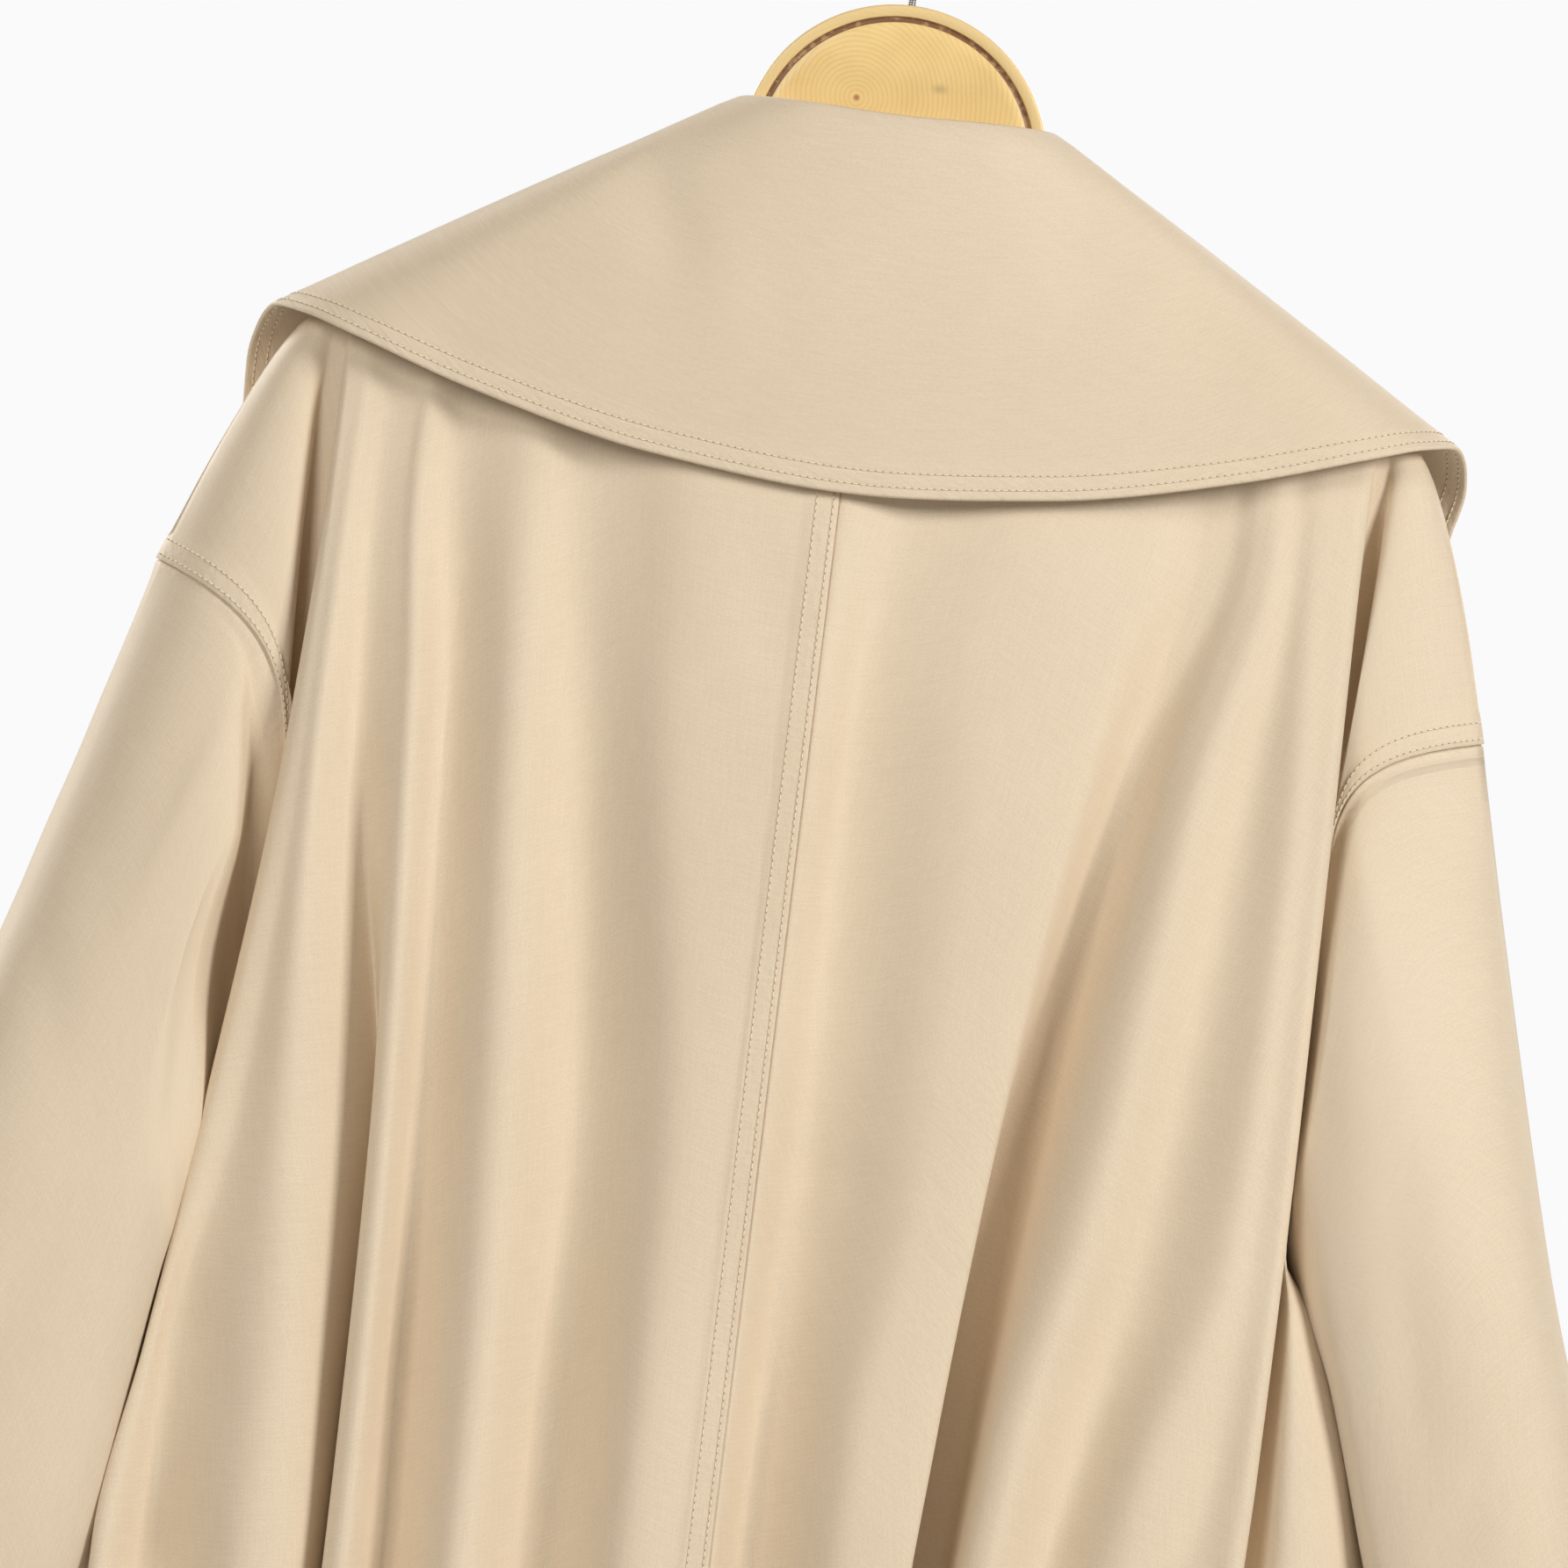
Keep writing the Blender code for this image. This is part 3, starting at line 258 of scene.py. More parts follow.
# %% Gabardine finish
TWILL_PITCH = 0.00062
TWILL_SLANT = 1.4
CLOTH_LIGHT = (0.812, 0.670, 0.498)
CLOTH_DARK = (0.688, 0.552, 0.391)
# Cells in a metre, across and down the cloth, then the layer, detail and roughness of each noise
WEFT_STREAKS = ((70.0, 1000.0, 0.0), 3.0, 0.6)
WARP_STREAKS = ((1100.0, 60.0, 3.0), 2.0, 0.5)
SPECKS = ((1300.0, 1500.0, 7.0), 2.0, 0.7)
PUCKERS = ((260.0, 260.0, 5.0), 2.0, 0.5)
CLOUD_SCALE = 7.0
TONE_MIDDLE = 0.72
# Millimetres from a seam where its pucker starts to fade, and where it has gone
PUCKER_FADE = (1.0, 14.0)


def gabardine():
    """Ribs: sin(2 pi (across + slant * down) / pitch). Streaks: noise stretched 14 times or more along a
    thread. The tone is a sum of them, and so is the relief."""
    cloth = Finish("gabardine", Sheen_Weight=0.22, Sheen_Roughness=0.38, Sheen_Tint=(1.0, 0.96, 0.9, 1.0),
                   Specular_IOR_Level=0.32)
    across, down = cloth.cloth_place()

    def grain_of(cells, detail, rough):
        return cloth.noise(cloth.vector(across * cells[0], down * cells[1], cells[2]), 1.0, detail, rough)

    ribs = ((across + down * TWILL_SLANT) * (2 * math.pi / TWILL_PITCH)).math("SINE")
    weft, warp, speck, pucker = (grain_of(*kind) for kind in (WEFT_STREAKS, WARP_STREAKS, SPECKS, PUCKERS))
    cloud = cloth.noise(cloth.place()[0], CLOUD_SCALE, 3.0, 0.5)
    tone = weft * 0.5 + warp * 0.34 + cloud * 0.5 + speck * 1.1 + ribs * 0.035 - TONE_MIDDLE
    color = cloth.mix(tone.step(0.05, 0.95), CLOTH_DARK, CLOTH_LIGHT)
    pucker = pucker * cloth.mark("seam").step(*PUCKER_FADE, 1.0, 0.0)
    relief = ribs * 0.5 + weft * 0.9 + warp * 0.5
    fine = cloth.bump(relief, 0.03, 0.8)
    normal = cloth.add("ShaderNodeBump", {}, {"Height": pucker, "Distance": 0.5 * MM, "Normal": fine})
    rough = weft.step(0.2, 0.8, 0.56, 0.68)
    return cloth.finish(Base_Color=color, Roughness=rough, Normal=normal)


# %% [markdown]
# The sewing thread is paler than the cloth and twisted from three plies. At the ends of a stitch it dives
# into its needle hole, whose shade reads as a dark dot. The holes aren't modelled: each stitch mesh marks
# its own ends, and the finish paints the holes' shade there as a dark brown.

# %% Sewing thread finish
def thread_finish():
    """Pale, with painted shade at the ends of a stitch, where it dives into its needle hole."""
    thread = Finish("thread", Sheen_Weight=0.2, Roughness=0.6)
    # The 'end' mark is 1 at a stitch's ends and 0 in its middle: it places the painted needle-hole shade
    end = thread.mark("end")
    ply = thread.noise(thread.place()[0], 2500.0)
    pale = thread.mix(ply, (0.80, 0.68, 0.48), (0.92, 0.80, 0.60))
    # Painted shade: dark brown at the stitch ends, standing in for the shade inside the needle holes
    return thread.finish(Base_Color=thread.mix(end, pale, (0.20, 0.14, 0.08)))


CLOTH_FINISH = gabardine()
THREAD_FINISH = thread_finish()
print("finishes", CLOTH_FINISH.name, THREAD_FINISH.name)

# %% [markdown]
# ## Curves through sizes
# A tailor marks a few sizes and draws a fair curve through them. `smooth` does that: a cubic that never
# overshoots its knots, so a fold is exactly as deep as its table says.


# %% Curves, normals and seams
def smooth(knots, values, at, start=1.0):
    """A monotone cubic through values at knots, read at `at`. `start` scales its slope at the first
    knot."""
    knots, values, at = (np.asarray(item, float) for item in (knots, values, at))
    step = np.diff(knots).reshape((-1,) + (1,) * (values.ndim - 1))
    slope = np.diff(values, axis=0) / step
    before, after = slope[:-1], slope[1:]
    same_way = before * after > 0
    weight_a = 2 * step[1:] + step[:-1]
    weight_b = step[1:] + 2 * step[:-1]
    safe = np.where(same_way, weight_a * after + weight_b * before, 1.0)
    inner = np.where(same_way, (weight_a + weight_b) * before * after / safe, 0.0)
    tangent = np.concatenate([slope[:1] * start, inner, slope[-1:]])
    index = np.clip(np.searchsorted(knots, at, side="right") - 1, 0, len(knots) - 2)
    read = at.shape + (1,) * (values.ndim - 1)
    width = np.diff(knots)[index].reshape(read)
    u = (at - knots[index]).reshape(read) / width
    return ((1 + 2 * u) * (1 - u) ** 2 * values[index] + u * (1 - u) ** 2 * width * tangent[index]
            + u**2 * (3 - 2 * u) * values[index + 1] - u**2 * (1 - u) * width * tangent[index + 1])


print("smooth at the quarters", smooth((0, 1, 2), (0, 1, 0), (0.25, 0.5, 0.75)).round(3).tolist())


# %% Small helpers for tables and grids
def ease(share):
    """0 below 0, 1 above 1, and smooth between them."""
    share = np.clip(share, 0, 1)
    return share**2 * (3 - 2 * share)


def bell(distance, middle, half):
    """exp(-((distance - middle) / half)^2): 1 in the middle, and almost 0 at twice the half-width."""
    return np.exp(-(((distance - middle) / half) ** 2))


def unit(vectors):
    """Vectors of length 1 in the same directions."""
    return vectors / np.linalg.norm(vectors, axis=-1, keepdims=True)


def named(columns, rows):
    """A table as a dictionary of one array for each named column of numbers."""
    return {name: np.array([row[i] for row in rows]) for i, name in enumerate(columns)}


def filled(values, step):
    """The values, with even steps no longer than `step` added between each two."""
    values = np.asarray(values, float)
    counts = np.maximum(np.ceil(np.diff(values) / step - 1e-6).astype(int), 1)
    parts = [np.linspace(a, b, n, endpoint=False) for a, b, n in zip(values[:-1], values[1:], counts)]
    return np.concatenate([*parts, values[-1:]])


def run_length(grid, axis):
    """Distance over the grid's points along one of its axes, from 0 at the first."""
    steps = np.linalg.norm(np.diff(grid, axis=axis), axis=2)
    start = np.zeros_like(np.take(steps, [0], axis=axis))
    return np.concatenate([start, np.cumsum(steps, axis=axis)], axis=axis)


def run_back(grid, axis):
    """The same, from 0 at the last."""
    return np.flip(run_length(np.flip(grid, axis), axis), axis)


def ringed(grid, axis=0):
    """The grid with its first line repeated after its last one, so it closes on itself."""
    return np.concatenate([grid, np.take(grid, [0], axis=axis)], axis=axis)


def last_row_first(*grids):
    """Each grid with its rows as the first axis, from the last row."""
    return [np.swapaxes(grid, 0, 1)[::-1] for grid in grids]


def quads(table):
    """Four neighbouring entries of a table at a time, as the corners of a face."""
    return np.stack([table[:-1, :-1], table[1:, :-1], table[1:, 1:], table[:-1, 1:]], 2)


def grid_normals(grid, turn=1.0, around=False):
    """Unit normals of a grid, to the side of (next column) x (next row). With turn -1 they point to the
    other side."""
    padded = np.concatenate([grid[-1:], grid, grid[:1]]) if around else grid
    across, down = np.gradient(padded, axis=0), np.gradient(padded, axis=1)
    normals = unit(np.cross(across, down)) * turn
    return normals[1:-1] if around else normals


# %% Evened and creased cloth
# Above 1, so that a crease keeps a little depth at its very ends
CREASE_FADE = 1.15


def calmed(grid):
    """Each inner column moved halfway to the straight line between its neighbours."""
    steps = np.linalg.norm(np.diff(grid, axis=0), axis=2).mean(1)
    share = (steps[:-1] / (steps[:-1] + steps[1:]))[:, None, None]
    line = grid[:-2] * (1 - share) + grid[2:] * share
    return np.concatenate([grid[:1], grid[1:-1] * 0.5 + line * 0.5, grid[-1:]])


def creased(grid, normals, creases):
    """Soft troughs (depth above 0) and ridges (below 0), each from one (across, up) to another. Its depth
    is a bell over its half-width, and fades towards both ends."""
    depth = np.zeros(grid.shape[:2])
    for x0, z0, x1, z1, half, deep in creases:
        line = np.array([x1 - x0, z1 - z0], float)
        offset = np.stack([grid[..., 0] - x0, grid[..., 2] - z0], -1)
        share = np.clip(offset @ line / (line @ line), 0, 1)
        off = np.linalg.norm(offset - share[..., None] * line, axis=-1)
        depth += deep * bell(off, 0, half) * ease(CREASE_FADE - np.abs(2 * share - 1))
    return grid - normals * depth[..., None]


# %% [markdown]
# ## From a grid to a sheet of cloth
# A sheet could be one layer with a Solidify modifier. Here the wall is made directly, because the collar is
# thicker between its stitch rows than on them: the outer points, the same points moved in along their
# normals, and a rounded rim between the two.


# %% Cloth wall
def rim_loop(columns, rows):
    """Grid places once round a sheet's edge, as index arrays of columns and rows."""
    i, j = np.arange(columns), np.arange(rows)
    return (np.concatenate([i[:-1], np.full(rows - 1, columns - 1), i[:0:-1], np.zeros(rows - 1, int)]),
            np.concatenate([np.zeros(columns - 1, int), j[:-1], np.full(columns - 1, rows - 1), j[:0:-1]]))


def new_piece(name, points, faces, finish, corners=None, marks=None):
    """A shown object from points in millimetres. `corners` is the UV of each face corner, `marks` point
    values."""
    mesh = bpy.data.meshes.new(name)
    mesh.from_pydata((points * MM).tolist(), [], faces)
    mesh.materials.append(finish)
    mesh.shade_smooth()
    if corners is not None:
        layer = mesh.uv_layers.new(name="cloth")
        layer.data.foreach_set("uv", np.asarray(corners, np.float32).ravel())
    for label, values in (marks or {}).items():
        layer = mesh.attributes.new(label, "FLOAT", "POINT")
        layer.data.foreach_set("value", np.asarray(values, np.float32))
    piece = bpy.data.objects.new(name, mesh)
    scene.collection.objects.link(piece)
    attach(piece, "root")
    return piece


def cloth_wall(name, outer, normals, thickness, seam, turn=1.0, around=False):
    """A closed wall: outer grid, inner grid = outer - normals * thickness, and rims that bulge by half
    the thickness. Faces are quads of neighbouring places, and UV is the distance across and down, in
    metres. With turn -1 the columns are taken from the last, so that the faces point outwards."""
    thickness = np.broadcast_to(np.asarray(thickness, float), outer.shape[:2])
    if turn < 0:
        outer, normals, thickness, seam = (item[::-1] for item in (outer, normals, thickness, seam))
    columns, rows = outer.shape[:2]
    thickness = thickness[..., None]
    inner = outer - normals * thickness
    looped = ringed(outer) if around else outer
    uv = np.stack([run_length(looped, 0), run_length(looped, 1)], 2) * MM
    index = np.arange(columns * rows).reshape(columns, rows)
    face = quads(ringed(index) if around else index).reshape(-1, 4)
    corner = quads(uv).reshape(-1, 4, 2)
    total = 2 * columns * rows
    faces, corners = [face, face[:, ::-1] + columns * rows], [corner, corner[:, ::-1]]
    points, marks = [outer.reshape(-1, 3), inner.reshape(-1, 3)], [seam.ravel(), seam.ravel()]
    away = np.zeros_like(outer)
    if around:
        ring = np.arange(columns)
        loops = [(ring, ring * 0), (ring[::-1], ring * 0 + rows - 1)]
    else:
        loops = [rim_loop(columns, rows)]
        away[0] += unit(outer[0] - outer[1])
        away[-1] += unit(outer[-1] - outer[-2])
    away[:, 0] += unit(outer[:, 0] - outer[:, 1])
    away[:, -1] += unit(outer[:, -1] - outer[:, -2])
    for i, j in loops:
        half = thickness[i, j] / 2
        points.append((outer[i, j] + inner[i, j]) / 2 + unit(away[i, j]) * half)
        marks.append(seam[i, j])
        number = total + np.arange(len(i))
        total += len(i)
        place = uv[i, j]
        after = np.roll(place, -1, axis=0)
        for a, b in ((index[i, j], number), (number, index[i, j] + columns * rows)):
            faces.append(np.stack([a, b, np.roll(b, -1), np.roll(a, -1)], 1))
            corners.append(np.stack([place, place, after, after], 1))
    return new_piece(name, np.concatenate(points), np.concatenate(faces).tolist(), CLOTH_FINISH,
                     np.concatenate(corners), {"seam": np.concatenate(marks)})


# %% [markdown]
# ## Stitches
# A lockstitch shows as a row of short plump threads with a needle hole between each two. A dashed line in
# the material would be flat. Each stitch is a bent spindle, and all of them are worked out at once from
# their middle points along the row.

# %% Stitch rows
STITCH_PITCH = 2.85
STITCH_FILL = 0.36
# Along, height over the cloth, radius and share of painted needle-hole shade of each of a stitch's sections
STITCH_SECTIONS = ((-1.3, 0.03, 0.17, 1.0), (-0.8, 0.2, 0.31, 0.0),
                   (0.8, 0.2, 0.31, 0.0), (1.3, 0.03, 0.17, 1.0))
STITCH_SIDES = 4
HEADING_REACH = 0.4


def line_on(grid, normals, distance, wanted):
    """The line on a grid where `distance`, which grows along the first axis, has the wanted value."""
    index = np.clip((distance < wanted).sum(0), 1, len(distance) - 1)
    row = np.arange(grid.shape[1])
    low, high = distance[index - 1, row], distance[index, row]
    share = ((wanted - low) / (high - low))[:, None]
    return (grid[index - 1, row] * (1 - share) + grid[index, row] * share,
            unit(normals[index - 1, row] * (1 - share) + normals[index, row] * share))


def stitch_rows(name, lines):
    """Stitches along lines of (points, normals): section k of stitch i is a ring of radius r_k round the
    point at distance (i + 1/2 + along_k * fill) * pitch, lifted by height_k."""
    rings, ends = [], []
    turn = (np.arange(STITCH_SIDES) * 2 * math.pi / STITCH_SIDES)[:, None]
    for points, normals in lines:
        length = np.concatenate([[0], np.cumsum(np.linalg.norm(np.diff(points, axis=0), axis=1))])
        count = int(length[-1] / STITCH_PITCH)
        middles = (np.arange(count) + 0.5) * STITCH_PITCH

        def read(values, at):
            return np.stack([np.interp(at, length, values[:, k]) for k in range(3)], -1)

        for along, height, radius, painted_hole_shade in STITCH_SECTIONS:
            at = middles + along * STITCH_FILL * STITCH_PITCH
            up = unit(read(normals, at))
            heading = unit(read(points, at + HEADING_REACH) - read(points, at - HEADING_REACH) + 1e-9)
            side = unit(np.cross(heading, up))
            centre = read(points, at) + up * height
            spokes = side[:, None] * np.cos(turn) + up[:, None] * np.sin(turn)
            rings.append(centre[:, None] + radius * spokes)
            ends.append(np.full((count, STITCH_SIDES), painted_hole_shade))
    sections = len(STITCH_SECTIONS)
    runs = range(0, len(rings), sections)
    points, painted_hole_shade = (np.concatenate([np.stack(made[k:k + sections], 1) for k in runs])
                    for made in (rings, ends))
    count = len(points)
    index = np.arange(sections * STITCH_SIDES).reshape(sections, STITCH_SIDES)
    body = quads(ringed(index, 1)).reshape(-1, 4)
    caps = np.stack([index[0], index[-1][::-1]])
    start = (np.arange(count) * sections * STITCH_SIDES)[:, None, None]
    faces = (body + start).reshape(-1, 4).tolist() + (caps + start).reshape(-1, STITCH_SIDES).tolist()
    # Each point keeps its share of painted needle-hole shade as the 'end' mark
    made = new_piece(name, points.reshape(-1, 3), faces, THREAD_FINISH, marks={"end": painted_hole_shade.ravel()})
    print(name, count, "stitches")
    return made


# %% [markdown]
# ## The coat's sizes
# These are the sizes of the coat as it hangs. A fold is a column of its table: where it lies at the
# shoulder seam, yoke, chest, underarm, low back and hip, and how far it stands out there. The tables are
# long because the folds are uneven, and an even ripple would look like a curtain.

# %% Sizes of the body
# Thickness of the shown cloth and of the collar, and how far the left front is moved in under the right one
CLOTH = 0.9
COLLAR_CLOTH = 1.5
LAP_STEP = 2.8
# Heights of the underarm, belt and hem, and the height that each 1 of `down` takes below the underarm
UNDERARM_Z = -515.0
BELT_Z = -740.0
HEM_Z = -1250.0
FLARE_LENGTH = 400.0
# Half the neck's width, the heights of its side and back, how far its back stands out, and the middle seam
NECK_HALF = 66.0
NECK_SIDE_Z = -112.0
NECK_BACK_Z = -123.0
NECK_DEPTH = 22.0
CENTRE_BACK_X = 5.0
# How far a front reaches past the middle, the height where the lap starts, over what length it does, and
# the height of the V's point
FRONT_LAP = 65.0
LAP_TOP = -245.0
LAP_FADE = 40.0
BREAK_Z = -330.0
# Half-width and half-depth of the belt's line, its squareness, and the play between it and the cloth
BELT_HALF = (222.0, 56.0)
BELT_SQUARENESS = 3.0
BELT_EASE = 1.2
# Growth of the width and of the folds' depth at the hem and at the top of the skirt, then the shares of
# that depth under the belt and in the slack above it
HEM_SPREAD = 1.16
HEM_SWELL = 1.3
SKIRT_SPREAD = 0.99
SKIRT_SWELL = 0.8
BELT_PINCH = 0.4
SLACK_SHARE = 0.9

# For each side: its sign, the shoulder tip, how soon the armhole seam curls in below it, the underarm,
# and how far the seam stands out in the back and the front
SIDES = {
    "left": {"sign": 1, "tip": (262.5, -302.0), "curl": 20.0, "underarm": 201.5, "stand": (26.0, 15.0)},
    "right": {"sign": -1, "tip": (253.0, -311.0), "curl": 12.0, "underarm": 196.5, "stand": (21.0, 15.0)},
}
# The shoulder line: distance out from the middle, and height
SHOULDER_LINE = {
    "left": ((66, -112), (110, -135), (150, -159), (202, -187),
             (218, -204), (237, -240), (249, -266), (262.5, -302)),
    "right": ((66, -112), (110, -135), (150, -158), (202, -188),
              (217, -205), (231, -231), (240, -266), (253, -311)),
}
# Drop below the shoulder line, and how far the back and the front stand out there
HANG = ((0, 0, 0), (1.5, 5.5, 5.5), (5.5, 9.5, 9.5), (15, 13, 13), (40, 19, 19), (90, 27, 27),
        (160, 36, 35), (330, 46, 46), (480, 50, 52), (580, 52, 54), (1150, 74, 74))
# Rows of the upper panel, from 0 at the shoulder line to 1 at the underarm's level
DOWN = (0, 0.004, 0.014, 0.04, 0.085, 0.14, 0.22, 0.32, 0.44, 0.57, 0.71, 0.86, 1.0)
# `down` at the seam, yoke, chest, underarm, low and hip, at the slack, at the belt's two edges, below it
# and at the hem
LEVELS = (0.0, 0.25, 0.5, 1.0, 1.2125, 1.4, 1.455, 1.5075, 1.6175, 1.76, 2.8375)
UNDERARM_LEVEL = 3
HIP_LEVEL = 5
HEM_DOWN = LEVELS[-1]
print("coat from", NECK_SIDE_Z, "to", HEM_Z, "and", sum(row["tip"][0] for row in SIDES.values()), "wide")

# %% Fold tables
# Each fold: where along the cloth its column lies, its distance out at six levels, and how far it stands
# out at the last five of them
FOLD_COLUMNS = ("name", "along", "seam", "yoke", "chest", "underarm", "low", "hip",
                "out_yoke", "out_chest", "out_underarm", "out_low", "out_hip")
BACK_FOLDS = {
    "left": (
        ("centre seam", 0, 5, 5, 5, 5, 5, 5, -1, -2, -5, -7, -7),
        ("ridge", 30, 45, 60, 57, 36, 36, 36, 0, 0, 0, 0, 0),
        ("middle valley", 60, 92, 101, 93, 72, 70, 68, -4, -11, -20, -25, -26),
        ("ridge", 96, 118, 125, 119, 105, 101, 100, 0, 0, 0, 0, 0),
        ("valley", 124, 146, 152, 144, 134, 132, 129, -6, -13, -19, -25, -26),
        ("ridge", 140, 160, 165, 157, 145.5, 143, 142, 0, 0, 0, 0, 0),
        ("overlap edge", 152, 167, 170, 163, 152.5, 151, 150.5, -2, -3, -5, -6, -7),
        ("deep valley", 178, 175, 180, 177, 150.5, 149, 148, -4, -10, -30, -38, -42),
        ("valley side", 200, 183, 186, 185, 165, 161, 158, -2, -4, -11, -10, -9),
        ("ridge", 222, 189, 191, 191, 185, 181, 180, 0, 0, 0, 0, 0),
        ("low valley", 242, 194, 194.5, 195.5, 204, 218, 215, -0.5, -1.5, -10, -20, -27),
        ("pane roll", 260, 197.5, 197.5, 199.5, 213.5, 225, 233, -1, -3, -9, -12, -6),
        ("pane edge", 270, 199.5, 199.5, 202.5, 218.6, 228.8, 239, -5, -7, -13, -13, -9),
        ("tuck", 284, 201, 196, 197, 208, 219, 229, -13, -22, -30, -31, -30),
        ("pocket", 300, 204, 208, 209, 202, 221, 231, -21, -34, -42, -42, -40),
    ),
    "right": (
        ("centre seam", 0, -5, -5, -5, -5, -5, -5, -1, -2, -5, -7, -7),
        ("soft valley", 16, 22, 27, 14, 12, 9, 9, -6, -13, -21, -27, -28),
        ("ridge", 56, 72, 78, 62, 57, 47, 46, 0, 0, 0, 0, 0),
        ("overlap edge", 100, 112, 116, 103, 82, 75.5, 71.5, -2, -4, -5, -5, -5),
        ("deep valley", 128, 126, 137, 119, 80, 72, 68, -6, -19, -34, -39, -42),
        ("valley floor", 142, 134, 146, 125, 95, 89, 85, -6, -18, -33, -39, -42),
        ("valley side", 160, 145, 155, 135, 105, 95.5, 90.5, -2, -6, -11, -5, -4),
        ("ridge", 182, 156, 163, 146, 122, 106, 100, 0, 0, 0, 0, 0),
        ("soft valley", 208, 168, 171, 164, 147, 131, 121, -2, -7, -13, -17, -17),
        ("low ridge", 236, 180, 180, 182, 177, 158, 146, 0, 0, 0, 0, 0),
        ("low valley", 252, 187, 187, 189, 187, 180, 170, -0.5, -1, -2, -6, -8),
        ("pane roll", 268, 193.5, 193, 194, 195.5, 194, 190, -1, -1, -1, -1, -1),
        ("pane edge", 278, 198, 197.5, 198, 199, 198.5, 197, -5, -5, -5, -5, -5),
        ("tuck", 291, 200.5, 193, 191, 192, 192, 191, -16, -20, -19, -17, -17),
        ("pocket", 305, 202, 206, 197, 199, 198.5, 197.5, -24, -31, -29, -26, -25),
    ),
}
# The fronts share one table. Its first column, the front edge, follows the V of the neck instead.
FRONT_FOLDS = (
    ("front edge", 0, 63, 35, 7, -65, -65, -65, 0, 0, 0, 0, 0),
    ("lap", 70, 78, 64, 45, 0, 0, 0, 0, 0, 0, 0, 0),
    ("lap end", 158, 94, 88, 80, 76, 76, 76, 0, 0, 0, 0, 0),
    ("valley", 186, 118, 114, 108, 103, 101, 99, -3, -7, -12, -14, -14),
    ("ridge", 212, 140, 138, 133, 130, 128, 126, 0, 0, 0, 0, 0),
    ("soft valley", 242, 170, 167, 163, 162, 161, 160, -2, -4, -7, -9, -9),
    ("pane roll", 278, 195, 194, 194, 196, 199, 204, -1, -1, -1, -1, -1),
    ("pane edge", 288, 199, 198, 198.5, 203, 209, 215, -5, -5, -6, -6, -6),
    ("tuck", 300, 200.5, 196, 195, 197, 204, 211, -8, -10, -14, -16, -16),
    ("pocket", 312, 202, 199.5, 197.5, 199.5, 208, 214, -9, -13, -23, -25, -25),
)
# How far along the cap's two columns and the seam lie past the pocket, as shares of the way and in
# millimetres, and how much the cap swells between
CAP_SHARES = (1 / 3, 2 / 3, 1.0)
CAP_ALONG = (18, 38, 58)
CAP_SWELL = {"left": 3.0, "right": 7.0}
# Distances out of the cap's two columns and of the seam, each at the underarm, low and hip levels
SIDE_PANEL = {
    ("left", True): ((199, 230, 238), (200.5, 236, 243), (201.5, 236, 244)),
    ("right", True): ((198.5, 209, 214), (198, 232, 244), (196.5, 241, 254)),
    ("left", False): ((201, 228, 238), (201.5, 233, 242), (201.5, 236, 244)),
    ("right", False): ((197, 222, 236), (197, 234, 248), (196.5, 241, 254)),
}
# How far they stand out there
SIDE_STAND = {
    ("left", True): ((14, 20, 20), (10, 16, 16), (0, 0, 0)),
    ("right", True): ((35, 43, 43), (24, 32, 30), (0, 0, 0)),
    ("left", False): ((17, 17, 18), (9, 9, 10), (0, 0, 0)),
    ("right", False): ((17, 19, 20), (9, 11, 12), (0, 0, 0)),
}
# How far under the arm, in `down`, the side is almost halfway to its size at the low level, and the
# shares of both sizes that it has there
SIDE_TURN = 0.055
SIDE_MIX = (0.58, 0.42)
# Over what `down` above the underarm the cap comes to the side panel's stand-out
SIDE_RISE = 0.22
# Half the `down` over which the rows change from following the shoulder to lying level
SOFT_TURN = 0.15
print("folds", {side: len(rows) for side, rows in BACK_FOLDS.items()}, "and", len(FRONT_FOLDS), "in front")


# %% [markdown]
# ## Body panels
# A panel is a grid: columns run down the cloth, and rows go round it. It hangs from the shoulder line, is
# pressed in at the belt, and opens again to the hem. Simulated cloth would hang more evenly than a worn
# coat does, so every row is worked out from the tables of folds instead.


# %% Lines that the panels hang from
def belt_quarter(run):
    """A point on the belt's line |x/a|^n + |y/b|^n = 1 and its outward direction, for a run from the
    middle back."""
    power = 2 / BELT_SQUARENESS
    turn = np.linspace(0, math.pi / 2, 2000)
    x = BELT_HALF[0] * np.sin(turn) ** power
    y = BELT_HALF[1] * np.cos(turn) ** power
    length = np.concatenate([[0], np.cumsum(np.hypot(np.diff(x), np.diff(y)))])
    at = np.abs(run)
    x, y = np.interp(at, length, x), np.interp(at, length, y)
    across = (x / BELT_HALF[0]) ** (BELT_SQUARENESS - 1) / BELT_HALF[0]
    ahead = (y / BELT_HALF[1]) ** (BELT_SQUARENESS - 1) / BELT_HALF[1]
    size = np.hypot(across, ahead)
    way = np.sign(run) + (np.asarray(run) == 0)
    return np.stack([x * way, y], -1), np.stack([across / size * way, ahead / size], -1), length[-1]


def shoulder_height(side, across):
    """Height of the shoulder line at a distance out."""
    out, height = np.array(SHOULDER_LINE[side], float).T
    return smooth(out, height, across)


def top_edge(side, seam_out):
    """Height and stand-out of a back's top edge: the round of the neck, then the shoulder line."""
    share = np.clip(1 - (seam_out / NECK_HALF) ** 2, 0, 1)
    neck = NECK_SIDE_Z + (NECK_BACK_Z - NECK_SIDE_Z) * share
    height = np.where(seam_out < NECK_HALF, neck, shoulder_height(side, np.maximum(seam_out, NECK_HALF)))
    return height, NECK_DEPTH * np.sqrt(share)


